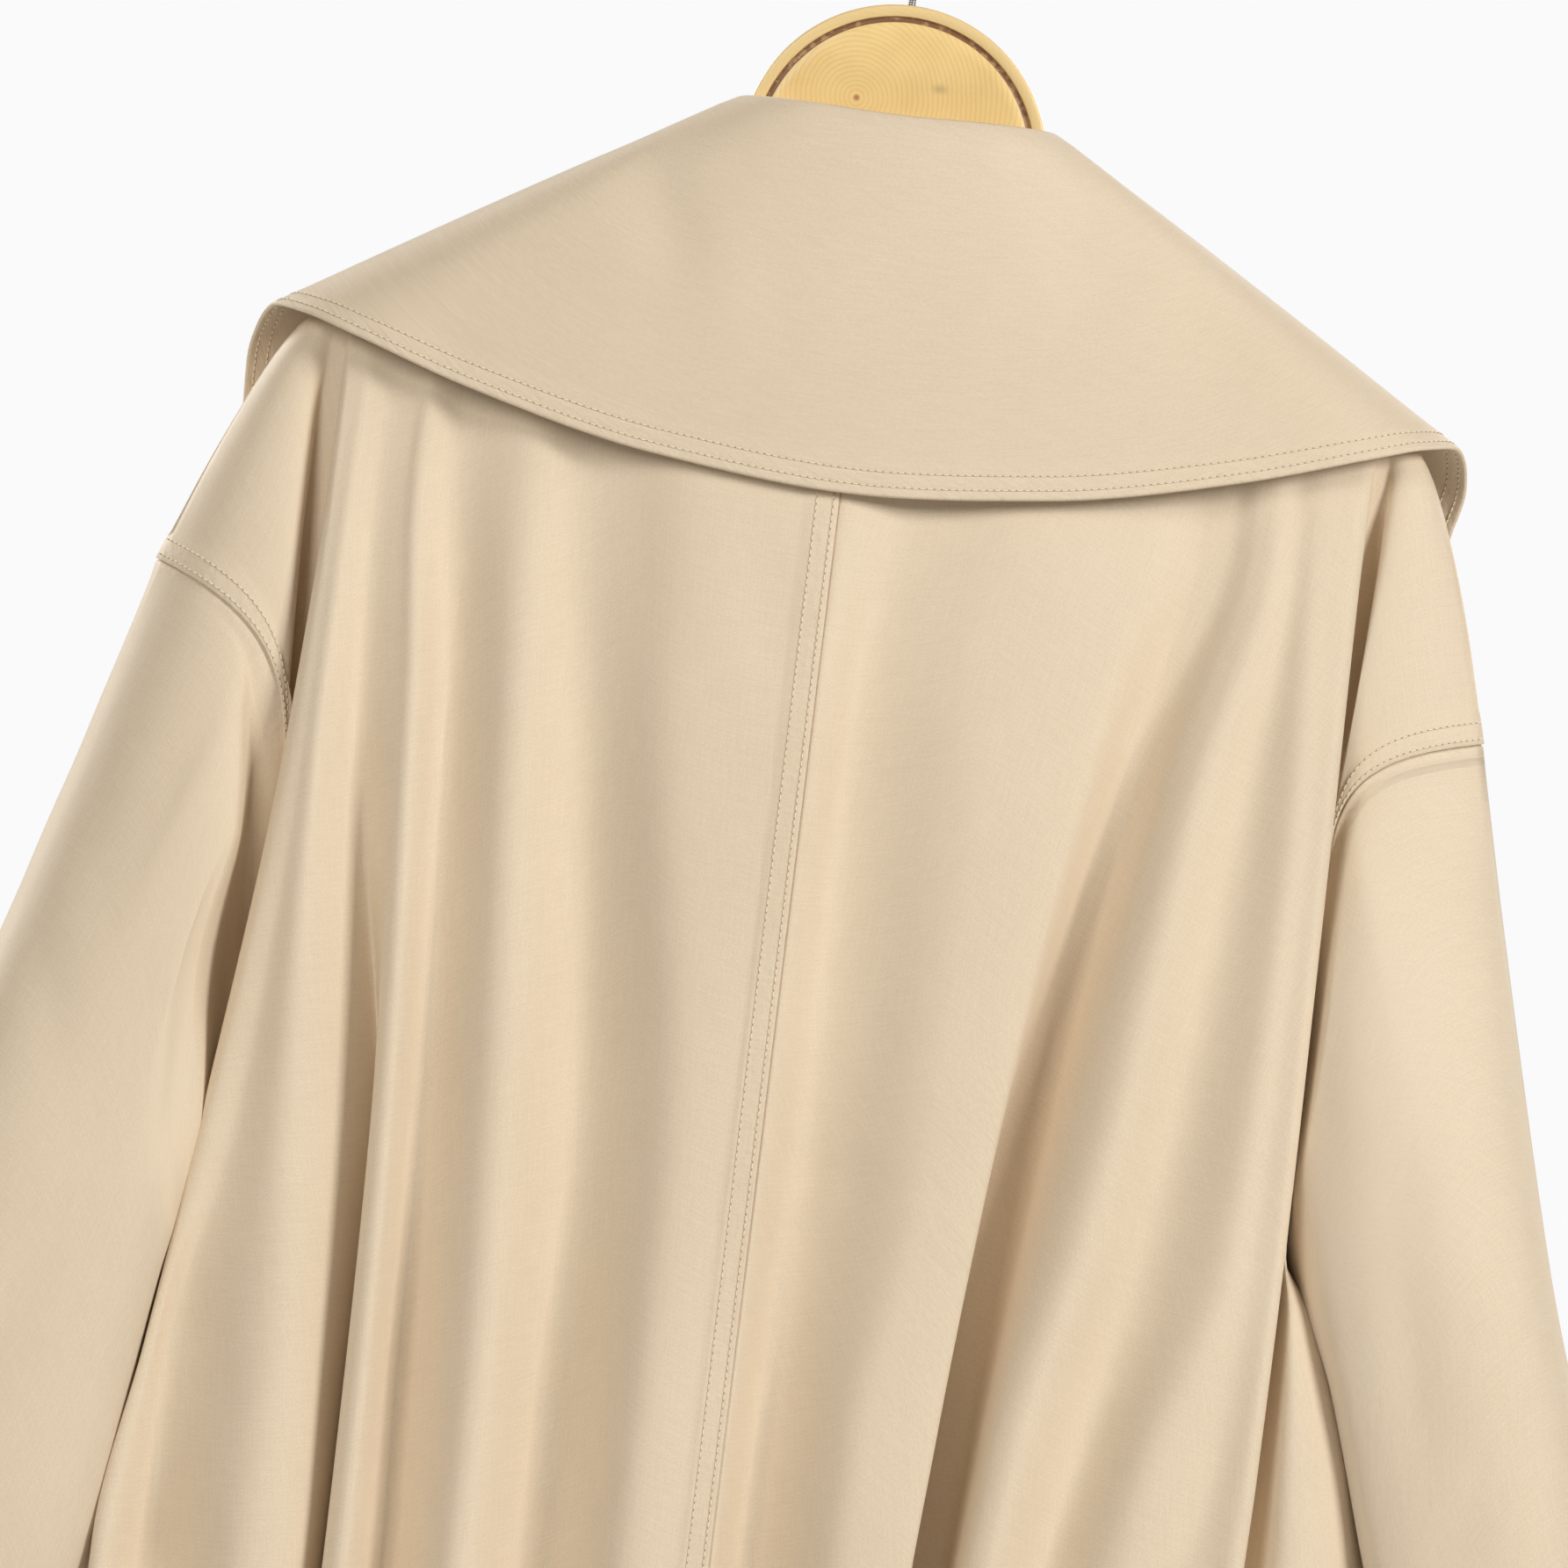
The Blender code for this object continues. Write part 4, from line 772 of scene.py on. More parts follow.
def armhole(side, back, drop):
    """Distance out and stand-out of the armhole seam at a drop below its top: out = underarm + (tip -
    underarm) exp(-drop / curl)."""
    tip_out, tip_z = SIDES[side]["tip"]
    low_out = SIDES[side]["underarm"]
    out = low_out + (tip_out - low_out) * np.exp(-drop / SIDES[side]["curl"])
    fall = np.clip(drop / (tip_z - UNDERARM_Z), 0, 1)
    stand = SIDES[side]["stand"][not back] * (1 - np.exp(-drop / 6.0)) * (1 - fall**1.6)
    return out, np.where(fall >= 1, 0.0, stand)


def front_edge(height):
    """Distance across of a front's edge: down the V of the neck, then out to the lap and straight to the
    hem."""
    knots = (-NECK_SIDE_Z, -BREAK_Z, 375, -HEM_Z)
    return smooth(knots, (63.0, 3.0, -FRONT_LAP, -FRONT_LAP), -height)


print("belt line", round(4 * belt_quarter(0.0)[2]), "mm round")


# %% Main columns of a panel
def hung_height(top, down):
    """Height of a row: from the top edge to the underarm's level at `down` 1, then on down the skirt. The
    ramp max(down - 1, 0) between the two is rounded over SOFT_TURN on both sides, so no line shows on the
    cloth."""
    turn = np.clip((down - 1 + SOFT_TURN) / (2 * SOFT_TURN), 0, 1)
    past = np.where(down < 1 + SOFT_TURN, SOFT_TURN * turn**2, down - 1)
    return top + (UNDERARM_Z - top) * (down - past) - FLARE_LENGTH * past


def pressed_line(start, along, valleys):
    """Distance out and stand-out of the cloth under the belt, from `start` out to the side. Its valleys
    keep BELT_PINCH of their depth."""
    whole = belt_quarter(0.0)[2]
    line, outward, _ = belt_quarter(start + (whole - start) * along / along[-1])
    pressed = np.zeros(len(along))
    pressed[:len(valleys)] = np.minimum(valleys, 0) * BELT_PINCH
    return (line + outward * (pressed - BELT_EASE / 2)[:, None]).T


def main_columns(side, back, across, out, belt, down):
    """Distance out, stand-out and height of the columns, one row of each for each `down`. As far as the
    hip a column stands out by hypot(hang, neck) + fold, and below it passes through the belt's line to
    the hem."""
    drops, backs, fronts = np.array(HANG, float).T
    hang = backs if back else fronts
    if back:
        top, neck_stand = top_edge(side, across[0])
    else:
        top, neck_stand = shoulder_height(side, np.maximum(across[0], NECK_HALF)), 0 * across[0]

    def stand_at(level):
        return np.hypot(smooth(drops, hang, top - hung_height(top, level)), neck_stand)

    hip, (belt_x, belt_y) = out[-1], belt[:, :len(top)]
    hip_down = LEVELS[HIP_LEVEL]
    spread_x = [across[-1] * SKIRT_SPREAD, across[-1] * HEM_SPREAD]
    spread_y = [stand_at(LEVELS[-2]) + hip * SKIRT_SWELL, stand_at(LEVELS[-1]) + hip * HEM_SWELL]
    x = smooth(LEVELS, np.array([*across, across[-1], belt_x, belt_x, *spread_x]), down)
    fold = smooth(LEVELS[:HIP_LEVEL + 1], out, np.minimum(down, hip_down))
    upper = np.array([stand_at(level) for level in down]) + fold
    slack = stand_at(LEVELS[HIP_LEVEL + 1]) + hip * SLACK_SHARE
    levels_y = np.array([stand_at(hip_down) + hip, slack, belt_y, belt_y, *spread_y])
    lower = smooth(LEVELS[HIP_LEVEL:], levels_y, np.maximum(down, hip_down), 0.0)
    y = np.where((down <= hip_down)[:, None], upper, lower)
    return x, y, hung_height(top, down[:, None])


def edged(x, height, share):
    """A front's columns with the first on the front edge. Those beside it follow, so the lap stays flat."""
    x[:, 0] = front_edge(height[:, 0])
    share = np.clip(share, 0, 1)
    return np.where(share < 1, x[:, :1] + (x[:, [np.argmax(share >= 1)]] - x[:, :1]) * share, x)


# %% The cap over the arm, and a whole panel
def cap_columns(side, back, pocket_out, pocket_stand, belt, down):
    """Points (distance out, stand-out, height) of the cap's two columns and the seam. Above the underarm
    each lies a share of the way from the pocket to the seam, and swells between. Below it follows its own
    sizes."""
    tip_out, tip_z = SIDES[side]["tip"]
    above, below = np.minimum(down, 1), np.maximum(down - 1, 0) * FLARE_LENGTH
    seam_height = tip_z + (UNDERARM_Z - tip_z) * above - below
    seam_out, seam_stand = armhole(side, back, tip_z - seam_height)
    skirt = down >= LEVELS[UNDERARM_LEVEL]
    knots = [LEVELS[UNDERARM_LEVEL], LEVELS[UNDERARM_LEVEL] + SIDE_TURN, *LEVELS[UNDERARM_LEVEL + 1:]]
    side_rows = SIDE_PANEL[side, back], SIDE_STAND[side, back]
    belt_end = belt[0, -3:], np.maximum(belt[1, -3:], 0.0)
    columns = []
    for share, out, stand, belt_x, belt_y in zip(CAP_SHARES, *side_rows, *belt_end):
        start_out = pocket_out[0] + (tip_out - pocket_out[0]) * share
        start_top = shoulder_height(side, [start_out])[0]
        x = pocket_out + (seam_out - pocket_out) * share
        swell = math.sin(math.pi * share**1.3) * ease(down * 5) * (1 - np.minimum(down, 1) ** 3)
        y = pocket_stand + (seam_stand - pocket_stand) * share + CAP_SWELL[side] * swell
        y = y + (stand[0] - np.interp(1.0, down, y)) * ease((down - 1 + SIDE_RISE) / SIDE_RISE)
        half_x, half_y = (sizes[0] * SIDE_MIX[0] + sizes[1] * SIDE_MIX[1] for sizes in (out, stand))
        x_levels = [out[0], half_x, *out[1:], out[2], belt_x, belt_x,
                    out[2] * SKIRT_SPREAD, out[2] * HEM_SPREAD]
        y_levels = [stand[0], half_y, *stand[1:], stand[2], belt_y, belt_y,
                    stand[2], stand[2] * HEM_SWELL]
        x[skirt] = smooth(knots, x_levels, down[skirt])
        y[skirt] = smooth(knots, y_levels, down[skirt])
        columns.append(np.stack([x, y, start_top + (UNDERARM_Z - start_top) * above - below], 1))
    return np.array(columns)


def panel(side, back, at, down):
    """Columns of points from the centre to the pocket behind the arm, then the cap's two columns and the
    seam."""
    table = named(FOLD_COLUMNS, BACK_FOLDS[side] if back else FRONT_FOLDS)
    across = np.array([smooth(table["along"], table[level], at) for level in FOLD_COLUMNS[2:8]])
    out = np.array([0 * at, *(smooth(table["along"], table[level], at, 0.0) for level in FOLD_COLUMNS[8:])])
    belt = pressed_line(across[-1, 0], np.concatenate([at, at[-1] + np.array(CAP_ALONG)]), out[-1])
    x, y, height = main_columns(side, back, across, out, belt, down)
    if not back:
        x = edged(x, height, at / table["along"][1])
    main = np.stack([x, y, height], 2).transpose(1, 0, 2)
    cap = cap_columns(side, back, x[:, -1], y[:, -1], belt, down)
    turn = (SIDES[side]["sign"], 1 if back else -1, 1)
    return np.concatenate([main, cap]) * turn


# %% Fine rows and columns
# Steps along a row and down a column, places close together beside a seam, and at the hem's row of stitches
COLUMN_STEP = 3.6
ROW_STEP = 7.0
SEAM_STEPS = np.array((0, 0.7, 1.4, 2.1, 3.0, 4.2, 5.5, 6.7, 7.5, 8.3, 9.1, 10.0, 11.2, 13.0))
SEAM_ZONE = 15.0
HEM_STEPS = np.array((26.5, 25.7, 25.0, 24.3, 23.5, 15.0, 8.0, 3.0, 1.2)) / FLARE_LENGTH
HEM_ZONE = 30.0

rows_above = filled(DOWN, ROW_STEP / FLARE_LENGTH)
rows_below = filled((1.0, *LEVELS[4:-1], HEM_DOWN - HEM_ZONE / FLARE_LENGTH), ROW_STEP / FLARE_LENGTH)[1:]
ROWS = np.concatenate([rows_above, rows_below, HEM_DOWN - HEM_STEPS, [HEM_DOWN]])
RING = len(rows_above)
print("rows", len(ROWS), "of which above the underarm", RING)


def fine_panel(side, back):
    """The panel on fine columns: close together at both seams, and COLUMN_STEP apart between."""
    folds = BACK_FOLDS[side] if back else FRONT_FOLDS
    knots = [row[1] for row in folds if row[1] > SEAM_ZONE + 1]
    at = np.concatenate([SEAM_STEPS, filled([SEAM_ZONE, *knots], COLUMN_STEP)])
    grid = panel(side, back, at, ROWS)
    cap = np.array([at[-2], at[-1], *(at[-1] + np.array(CAP_ALONG))])
    end = cap[-1]
    fine = np.concatenate([filled([at[-1], end - SEAM_ZONE], COLUMN_STEP)[1:], end - SEAM_STEPS[::-1]])
    return np.concatenate([grid[:len(at)], smooth(cap, grid[-5:], fine)])


# %% [markdown]
# The seam at the middle of the back is felled to the left: the cloth is folded over it and held by two
# rows of stitches. The same is done round the armholes. A felled seam is three layers thick, so it stands
# up as a flat ridge with a soft edge, and each row of stitches pulls a small groove into it. Both are
# added to the grid along its normals.

# %% Felled seams
# Distances of the stitch rows from a seam and from an edge, and the width and height of a felled seam
FELL_ROWS = (1.7, 8.1)
EDGE_ROWS = (3.1, 8.7)
FELL_WIDTH = 9.6
FELL_LIFT = 0.75
FELL_SOFT = 1.6
EDGE_LIFT = 0.3
# Depth and half-width of the groove along a stitch row, and along the single row of a hem
ROW_GROOVE = (0.13, 0.85)
HEM_GROOVE = (0.25, 0.9)


def fell(distance, rows, lift=FELL_LIFT, width=FELL_WIDTH):
    """Height over the cloth at a distance from a felled seam: `lift` up to `width`, then a soft fall,
    less a groove at each stitch row."""
    deep, half = ROW_GROOVE
    grooves = sum(deep * bell(distance, row, half) for row in rows)
    return lift * (1 - ease((distance - width) / FELL_SOFT)) - grooves


def hem_groove(distance, rows):
    """Depth of the grooves along a hem's rows."""
    deep, half = HEM_GROOVE
    return sum(deep * bell(distance, row, half) for row in rows)


def lapped(grid, side):
    """The left front lies under the right one where they lap, so it is moved in there."""
    reach = np.clip((FRONT_LAP + LAP_FADE - np.abs(grid[:, :, 0])) / LAP_FADE, 0, 1)
    reach = reach * np.clip((LAP_TOP - grid[:, :, 2]) / LAP_FADE, 0, 1)
    grid[:, :, 1] += reach * LAP_STEP * (side == "left")
    return grid


print("a felled seam is", FELL_WIDTH, "mm wide")


# %% [markdown]
# The largest folds are in the tables. A coat that has been worn and packed also has small uneven creases:
# a pinch beside the middle seam, slack above the belt, soft drags from the arms. They are listed one by
# one, each as a line across the cloth with a half-width and a depth.

# %% Small creases
# From across and up, to across and up, half-width, depth
CREASES = {
    "back_left": ((40, -262, 14, -330, 12, 1.0), (78, -255, 48, -345, 14, 0.8),
                  (112, -250, 96, -350, 11, 0.7), (214, -566, 196, -640, 8, 2.2),
                  (205, -600, 186, -690, 9, -1.2), (60, -560, 55, -700, 12, 0.7),
                  (150, -250, 143, -330, 8, 0.5), (236, -330, 224, -372, 6, 0.5)),
    "back_right": ((-6, -508, -24, -500, 6, 0.9), (-24, -500, -40, -512, 6, 0.6),
                   (-14, -518, -30, -514, 5, -0.7), (-20, -252, -12, -330, 10, 0.9),
                   (-70, -262, -58, -340, 14, 0.7), (-36, -420, -32, -480, 9, 0.5),
                   (-150, -620, -128, -700, 7, 1.6), (-186, -560, -150, -680, 7, -1.4),
                   (-190, -620, -172, -690, 6, 1.4)),
    "front_left": ((150, -420, 120, -560, 14, 1.0), (196, -440, 176, -520, 9, 1.2),
                   (110, -640, 104, -715, 9, 1.0), (160, -650, 150, -715, 8, 0.9),
                   (60, -360, 80, -450, 16, 0.8)),
    "front_right": ((-146, -410, -122, -550, 14, 1.0), (-194, -450, -172, -530, 9, 1.2),
                    (-100, -650, -96, -715, 9, 1.0), (-165, -640, -152, -715, 8, 0.9),
                    (-50, -380, -84, -460, 16, 0.8)),
}
print("creases", {name: len(rows) for name, rows in CREASES.items()})

# %% Cut and hang the four panels
# Distance of the hem's stitch row from the hem, and how far the right back reaches on under the left one
HEM_ROW = 25.0
UNDER_REACH = 3.0
# Depth and half-width of the groove where the right back goes in under the left one
UNDER_GROOVE = (0.8, 1.3)
# A front's armhole is felled down to this far above the underarm, and over this length the fell fades
FELL_END = 12
FELL_FADE = 16


def panel_relief(name, grid, back, from_start, from_end, from_hem):
    """Height of the felled seams over the cloth, less the grooves. A front is felled round the armhole
    only: the side seam is felled towards the back."""
    above = 1 if back else 1 - ease((UNDERARM_Z + FELL_END - grid[..., 2]) / FELL_FADE)
    relief = fell(from_end, FELL_ROWS) * above
    if name == "back_right":
        deep, half = UNDER_GROOVE
        relief = relief - deep * bell(from_start, 0, half)
    else:
        relief = relief + (fell(from_start, FELL_ROWS) if back else fell(from_start, EDGE_ROWS, EDGE_LIFT))
    return relief - hem_groove(from_hem, (HEM_ROW,))


def panel_rows(name, grid, normals, back, from_start, from_end, from_hem):
    """The lines of the panel's stitches: at the armhole and side, at the middle or front edge, and at the
    hem."""
    reverse = grid[::-1], normals[::-1], from_end[::-1]
    lines = [line_on(*reverse, row) for row in FELL_ROWS]
    if not back:
        lines = [(points[:RING], ups[:RING]) for points, ups in lines]
    if name != "back_right":
        lines += [line_on(grid, normals, from_start, row) for row in (FELL_ROWS if back else EDGE_ROWS)]
    lines.append(line_on(*last_row_first(grid, normals, from_hem), HEM_ROW))
    return lines


def hang_panel(side, back):
    """One panel with its seams, small creases and stitches."""
    name = f"{'back' if back else 'front'}_{side}"
    grid = fine_panel(side, back)
    if not back:
        grid = lapped(grid, side)
    outward = 1.0 if SIDES[side]["sign"] * (1 if back else -1) > 0 else -1.0
    grid = calmed(grid)
    grid = creased(grid, grid_normals(grid, outward), CREASES[name])
    distances = run_length(grid, 0), run_back(grid, 0), run_back(grid, 1)
    from_start, from_end, from_hem = distances
    relief = panel_relief(name, grid, back, *distances)
    grid = grid + grid_normals(grid, outward) * relief[..., None]
    normals = grid_normals(grid, outward)
    lines = panel_rows(name, grid, normals, back, *distances)
    seam = np.minimum(from_end, from_hem * 0.5)
    if name == "back_right":
        # Its edge goes on under the folded edge of the left panel
        under = grid[:1] - normals[:1] * 0.5 + np.array((UNDER_REACH, 0, 0))
        grid = np.concatenate([under, grid])
        normals, seam = (np.concatenate([item[:1], item]) for item in (normals, seam))
    else:
        seam = np.minimum(seam, from_start)
    piece = cloth_wall(name, grid, normals, CLOTH, seam, outward)
    sewing = stitch_rows(f"{name}_stitches", lines)
    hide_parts(name)
    print(name, "grid", grid.shape[:2], "widest", round(float(run_length(grid, 0)[-1].max()), 1))


for side in SIDES:
    hang_panel(side, True)
    hang_panel(side, False)

# %% [markdown]
# ## Sleeves
# A dropped sleeve is a tube sewn to the armhole. Its first ring is the armhole itself, a little inside
# the body's folded edge, and below that it passes through oval sections down to the open cuff. The upper
# side falls in line with the cap, and the underarm folds. One closed grid of rings keeps the tube free of
# a seam line.

# %% Sleeve sizes
# Height, distance out of its middle, half-width, set back, half-depth, and how much higher its outer side
# is
SLEEVES = {
    "left": ((-545, 275, 51, 0, 50, 44), (-600, 287, 56, -4, 54, 34), (-657, 299.5, 62, -4, 56, 32),
             (-750, 322, 62, -3, 56, 28), (-862, 342, 60, 0, 50, 16)),
    "right": ((-540, 264, 43, -4, 54, 40), (-600, 283.5, 45, -9, 58, 30), (-657, 298, 43, -8, 58, 28),
              (-750, 315, 46, -4, 60, 24), (-862, 330, 51, 0, 56, 14)),
}
# How square the sleeve's section is on its outer side, and on its inner side against the body
SLEEVE_FULL = (0.75, 0.18)
# How far the inner side draws back from the body towards the front
SLEEVE_LEAN = 16.0
# How far the sleeve runs on beside the seam, how far to its own fold and there beside the body's hidden
# pocket, the stand-out of that fold, and how much it sinks into the pocket
SLEEVE_BULGE = {"left": (13.0, 16.0, 33.0, 39.0, 0.85), "right": (2.0, 7.0, 8.0, 38.0, 0.05)}
# The same first two reaches at the shoulder tip, and the first ring's
TIP_REACH = (4, 8)
RING_REACH = 0.6
# How far sideways the sleeve leaves the tip for each 1 down, and the shares of the cap's way and of this
# one
SLEEVE_TIP_WAY = 0.22
TIP_SHARES = (0.4, 0.6)
# Below the tip, the length over which the sleeve comes to hang from the seam
RING_TURN = 60.0
# How the sleeve leaves the seam under the tip: sideways, down, and how much less steeply at this height
HANG_WAY = (0.8, -1.8, 1.5)
HANG_RISE = 110
# How far over the underarm the pocket starts, and over what length it deepens
POCKET_START = 120
POCKET_FADE = 60
# Place of each ring and section on the tube's own count
SLEEVE_KNOTS = (0, 0.06, 0.13, 1.0, 1.35, 1.7, 2.25, 2.9)
SLEEVE_CREASES = {
    "left": ((300, -420, 262, -520, 10, 1.0), (322, -560, 290, -640, 14, 1.6),
             (268, -560, 300, -650, 10, 1.2), (340, -660, 300, -760, 12, 1.8),
             (310, -770, 350, -830, 12, 1.0), (284, -360, 262, -440, 12, 0.6)),
    "right": ((-240, -500, -262, -600, 9, 1.4), (-250, -420, -236, -520, 10, 0.8),
              (-300, -560, -262, -660, 12, 1.2), (-320, -680, -280, -780, 12, 1.6),
              (-290, -790, -340, -840, 12, 1.0), (-262, -360, -242, -430, 10, 0.5)),
}
CUFF_ROWS = (3.1, 40.0)
print("sleeve sections", len(SLEEVES["left"]))


# %% The armhole's ring
def armhole_seam(side):
    """Points round the armhole, down the back to the underarm and up the front, and the cap's way out
    there."""
    halves = [panel(side, back, np.array([row[1] for row in folds], float), rows_above)
              for back, folds in ((True, BACK_FOLDS[side]), (False, FRONT_FOLDS))]
    points, before = (np.concatenate([halves[0][k], halves[1][k, 1:-1][::-1]]) for k in (-1, -2))
    outward = points - before
    points[[0, RING - 1], 1] = 0
    return points, outward


def armhole_ring(side):
    """Points and outward directions round the armhole, and the sleeve's first three rings: at the seam,
    beside it, and at its own fold, whose stand-out grows as tanh(stand / 4) to full."""
    points, outward = armhole_seam(side)
    sign = SIDES[side]["sign"]
    below_tip = SIDES[side]["tip"][1] - points[:, 2]
    fall = ease(below_tip / RING_TURN)[:, None]
    steep = ease((points[:, 2] - UNDERARM_Z) / HANG_RISE)
    aside, down, less = HANG_WAY
    hanging = np.stack([np.full(len(points), sign * aside), 0 * steep, down + less * steep], 1)
    tip_way = unit(np.array((sign * SLEEVE_TIP_WAY, 0, -1.0)))
    outward[0] = tip_way
    at_tip = unit(outward) * TIP_SHARES[0] + tip_way * TIP_SHARES[1]
    outward = unit(at_tip * (1 - fall) + unit(hanging) * fall)
    deep, far, hidden, top, sink = SLEEVE_BULGE[side]
    pocket = ease((UNDERARM_Z + POCKET_START - points[:, 2]) / POCKET_FADE)
    near = points + outward * (TIP_REACH[0] + (deep - TIP_REACH[0]) * fall)
    near[:, 1] *= 1 - sink * pocket
    reach = TIP_REACH[1] + (far - TIP_REACH[1]) * fall + (hidden - far) * pocket[:, None]
    bulge = points + outward * reach
    stand = np.abs(points[:, 1])
    slow = ease(below_tip / (2 * RING_TURN))
    bulge[:, 1] += (top - stand) * np.sign(points[:, 1]) * np.tanh(stand / 4) * slow
    return points, outward, [points + outward * RING_REACH, near, bulge]


print("armhole", round(float(run_length(ringed(armhole_seam("left")[0])[:, None], 0)[-1, 0])), "mm round")


# %% Sew in the sleeves
def tube_section(row, angle, sign):
    """One oval ring: x = middle + half_width cos t + lean, y = back + half_depth sin^f t, z = height +
    tilt / 2 cos t, where t goes once round from the top."""
    height, middle, half_width, set_back, half_depth, tilt = row
    full = np.where(np.cos(angle) > 0, *SLEEVE_FULL)
    swell = half_depth * np.sign(np.sin(angle)) * np.abs(np.sin(angle)) ** full
    lean = SLEEVE_LEAN * np.clip((30 - set_back - swell) / 50, 0, 1) * np.clip(-np.cos(angle), 0, 1)
    return np.stack([sign * (middle + half_width * np.cos(angle) + lean), set_back + swell,
                     height + tilt * 0.5 * np.cos(angle)], 1)


def sew_sleeve(side):
    """A tube through the armhole's rings and the oval sections, with its creases, cuff and stitches."""
    sign = SIDES[side]["sign"]
    ring, outward, sections = armhole_ring(side)
    coarse = smooth(DOWN, np.arange(len(DOWN)), rows_above) / (len(DOWN) - 1) * 0.5
    angle = np.concatenate([coarse, 1 - coarse[1:-1][::-1]]) * 2 * math.pi
    sections += [tube_section(row, angle, sign) for row in SLEEVES[side]]
    at = np.concatenate([[0, 0.006, 0.014, 0.03, 0.045], filled((0.06, 1.0, 1.7, 2.25, 2.7), 0.025),
                         np.linspace(2.71, 2.9, 14)])
    grid = smooth(SLEEVE_KNOTS, np.array(sections), at).transpose(1, 0, 2)
    grid = creased(grid, grid_normals(grid, -sign, around=True), SLEEVE_CREASES[side])
    normals = grid_normals(grid, -sign, around=True)
    # The sleeve's own seam allowance reaches in under the body's folded edge
    grid[:, :2] -= normals[:, 4:5] * np.array((0.75, 0.5))[:, None]
    under = (ring - outward * 3.5 - normals[:, 4] * 1.1)[:, None]
    grid = np.concatenate([under, grid], 1)
    normals = np.concatenate([normals[:, 4:5], normals[:, 4:5], normals[:, 1:]], 1)
    from_cuff = run_back(grid, 1)
    grid = grid - normals * hem_groove(from_cuff, CUFF_ROWS)[..., None]
    seam = np.minimum(run_length(grid, 1), from_cuff * 0.6)
    hem = last_row_first(*(ringed(item) for item in (grid, normals, from_cuff)))
    lines = [line_on(*hem, row) for row in CUFF_ROWS]
    piece = cloth_wall(f"sleeve_{side}", grid, normals, CLOTH, seam, sign, around=True)
    sewing = stitch_rows(f"sleeve_{side}_stitches", lines)
    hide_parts(f"sleeve_{side}")
    print("sleeve", side, "grid", grid.shape[:2], "round", round(float(run_length(grid, 0)[-1].max()), 1))


for side in SIDES:
    sew_sleeve(side)

# %% [markdown]
# ## Collar
# The collar is as wide as a small cape. It is cut double, turned, and stitched twice along its edge. A
# band stands up inside the neck, and the cloth rolls over it and falls to the edge. A flat disc bent by a
# modifier wouldn't roll. One sheet follows band, roll and fall, from a table of places round the neck.

# %% Collar sizes
# Half-width of the roll round the neck, and its half-depth at the back and in front
NECK_ROLL = (64.5, 27.0, 60.0)
COLLAR_COLUMNS = ("name", "roll_x", "roll_y", "roll_z", "edge_x", "edge_y", "edge_z",
                  "stand", "swell", "front")
COLLAR = (
    ("centre back", 0, 27, -101.5, 0, 43, -246, 20.5, 2, 0),
    ("inner back", 31, 25, -100.5, 76, 40.5, -239.5, 18.5, 2, 0),
    ("outer back", 53, 17, -99.8, 146, 35.5, -224, 15, 3, 0),
    ("back of shoulder", 61, 9, -99.6, 193, 29, -209, 12, 3, 0),
    ("behind the tip", 64, 4, -99.8, 216, 17, -201.5, 11, 2, 0),
    ("shoulder tip", 64.5, 0, -100.3, 229, 2, -199, 10.5, 1, 0),
    ("before the tip", 64.5, -4, -101.5, 236, -13, -207, 9.5, 2, 0),
    ("wing", 63, -9, -104, 239, -27, -222, 8, 3, 0.3),
    ("front of shoulder", 60, -16, -113, 238, -41, -262, 7, 4, 0.8),
    ("chest", 50, -29, -149, 198, -56, -322, 6, 5, 1),
    ("lower chest", 32, -44, -225, 128, -64, -368, 6, 4, 1),
    ("front end", 7, -55, -318, 36, -66, -384, 5, 2, 1),
)
COLLAR_CREASES = ((100, -122, 66, -182, 13, 2.6), (82, -150, 40, -205, 18, -1.4),
                  (-60, -120, -96, -170, 16, 1.4), (-110, -150, -150, -190, 16, 1.2),
                  (20, -160, -40, -175, 24, 0.9), (170, -196, 150, -222, 12, 0.8))
# How far the right wing is drawn in, the height where it hangs lowest, and over what height
WING_DRAWN = (9.0, -262.0, 45.0)
# How far the edge is shifted at the middle seam, and over what distance that fades
EDGE_SHIFT = (CENTRE_BACK_X * 0.4, 150)
# Rows of the band: share of the way down the stand, and distance in from the roll
BAND_ROWS = ((1.0, 5.2), (0.55, 5.2), (0.22, 4.7))
# Share of the fall where the roll ends
ROLL_END = 0.03
EDGE_STEPS = np.array((14, 12.2, 10.8, 9.7, 9.2, 8.7, 8.2, 7.6, 6.8, 5.9, 5.0, 4.2, 3.6, 3.1, 2.6, 2.0,
                       1.3, 0.6, 0))
# Height of the layers' puff between the rows and the roll, and where it ends from the edge
COLLAR_PUFF = (0.12, 12.0)
print("collar stations", len(COLLAR), "on each side")


# %% Lines of the collar
def collar_lines():
    """The roll and the outer edge all round the neck, and the table's last three columns there."""
    table = named(COLLAR_COLUMNS, COLLAR)
    stations = np.arange(len(COLLAR))
    at = filled(stations, 1 / 13)
    both = {}
    for name in COLLAR_COLUMNS[1:]:
        half = smooth(stations, table[name], at, 0.0 if name[-1] in "yz" else 1.0)
        both[name] = np.concatenate([(half[1:] * (-1 if name[-1] == "x" else 1))[::-1], half])
    roll, edge = (np.stack([both[f"{line}_{axis}"] for axis in "xyz"], 1) for line in ("roll", "edge"))
    shift, fade = EDGE_SHIFT
    edge[:, 0] += shift * bell(edge[:, 0], 0, fade)
    drawn, lowest, reach = WING_DRAWN
    in_front = np.clip(-edge[:, 1] / 30, 0, 1) * (edge[:, 0] < 0)
    edge[:, 0] += drawn * bell(edge[:, 2], lowest, reach) * in_front
    return roll, edge, *(both[name][:, None] for name in ("stand", "swell", "front"))


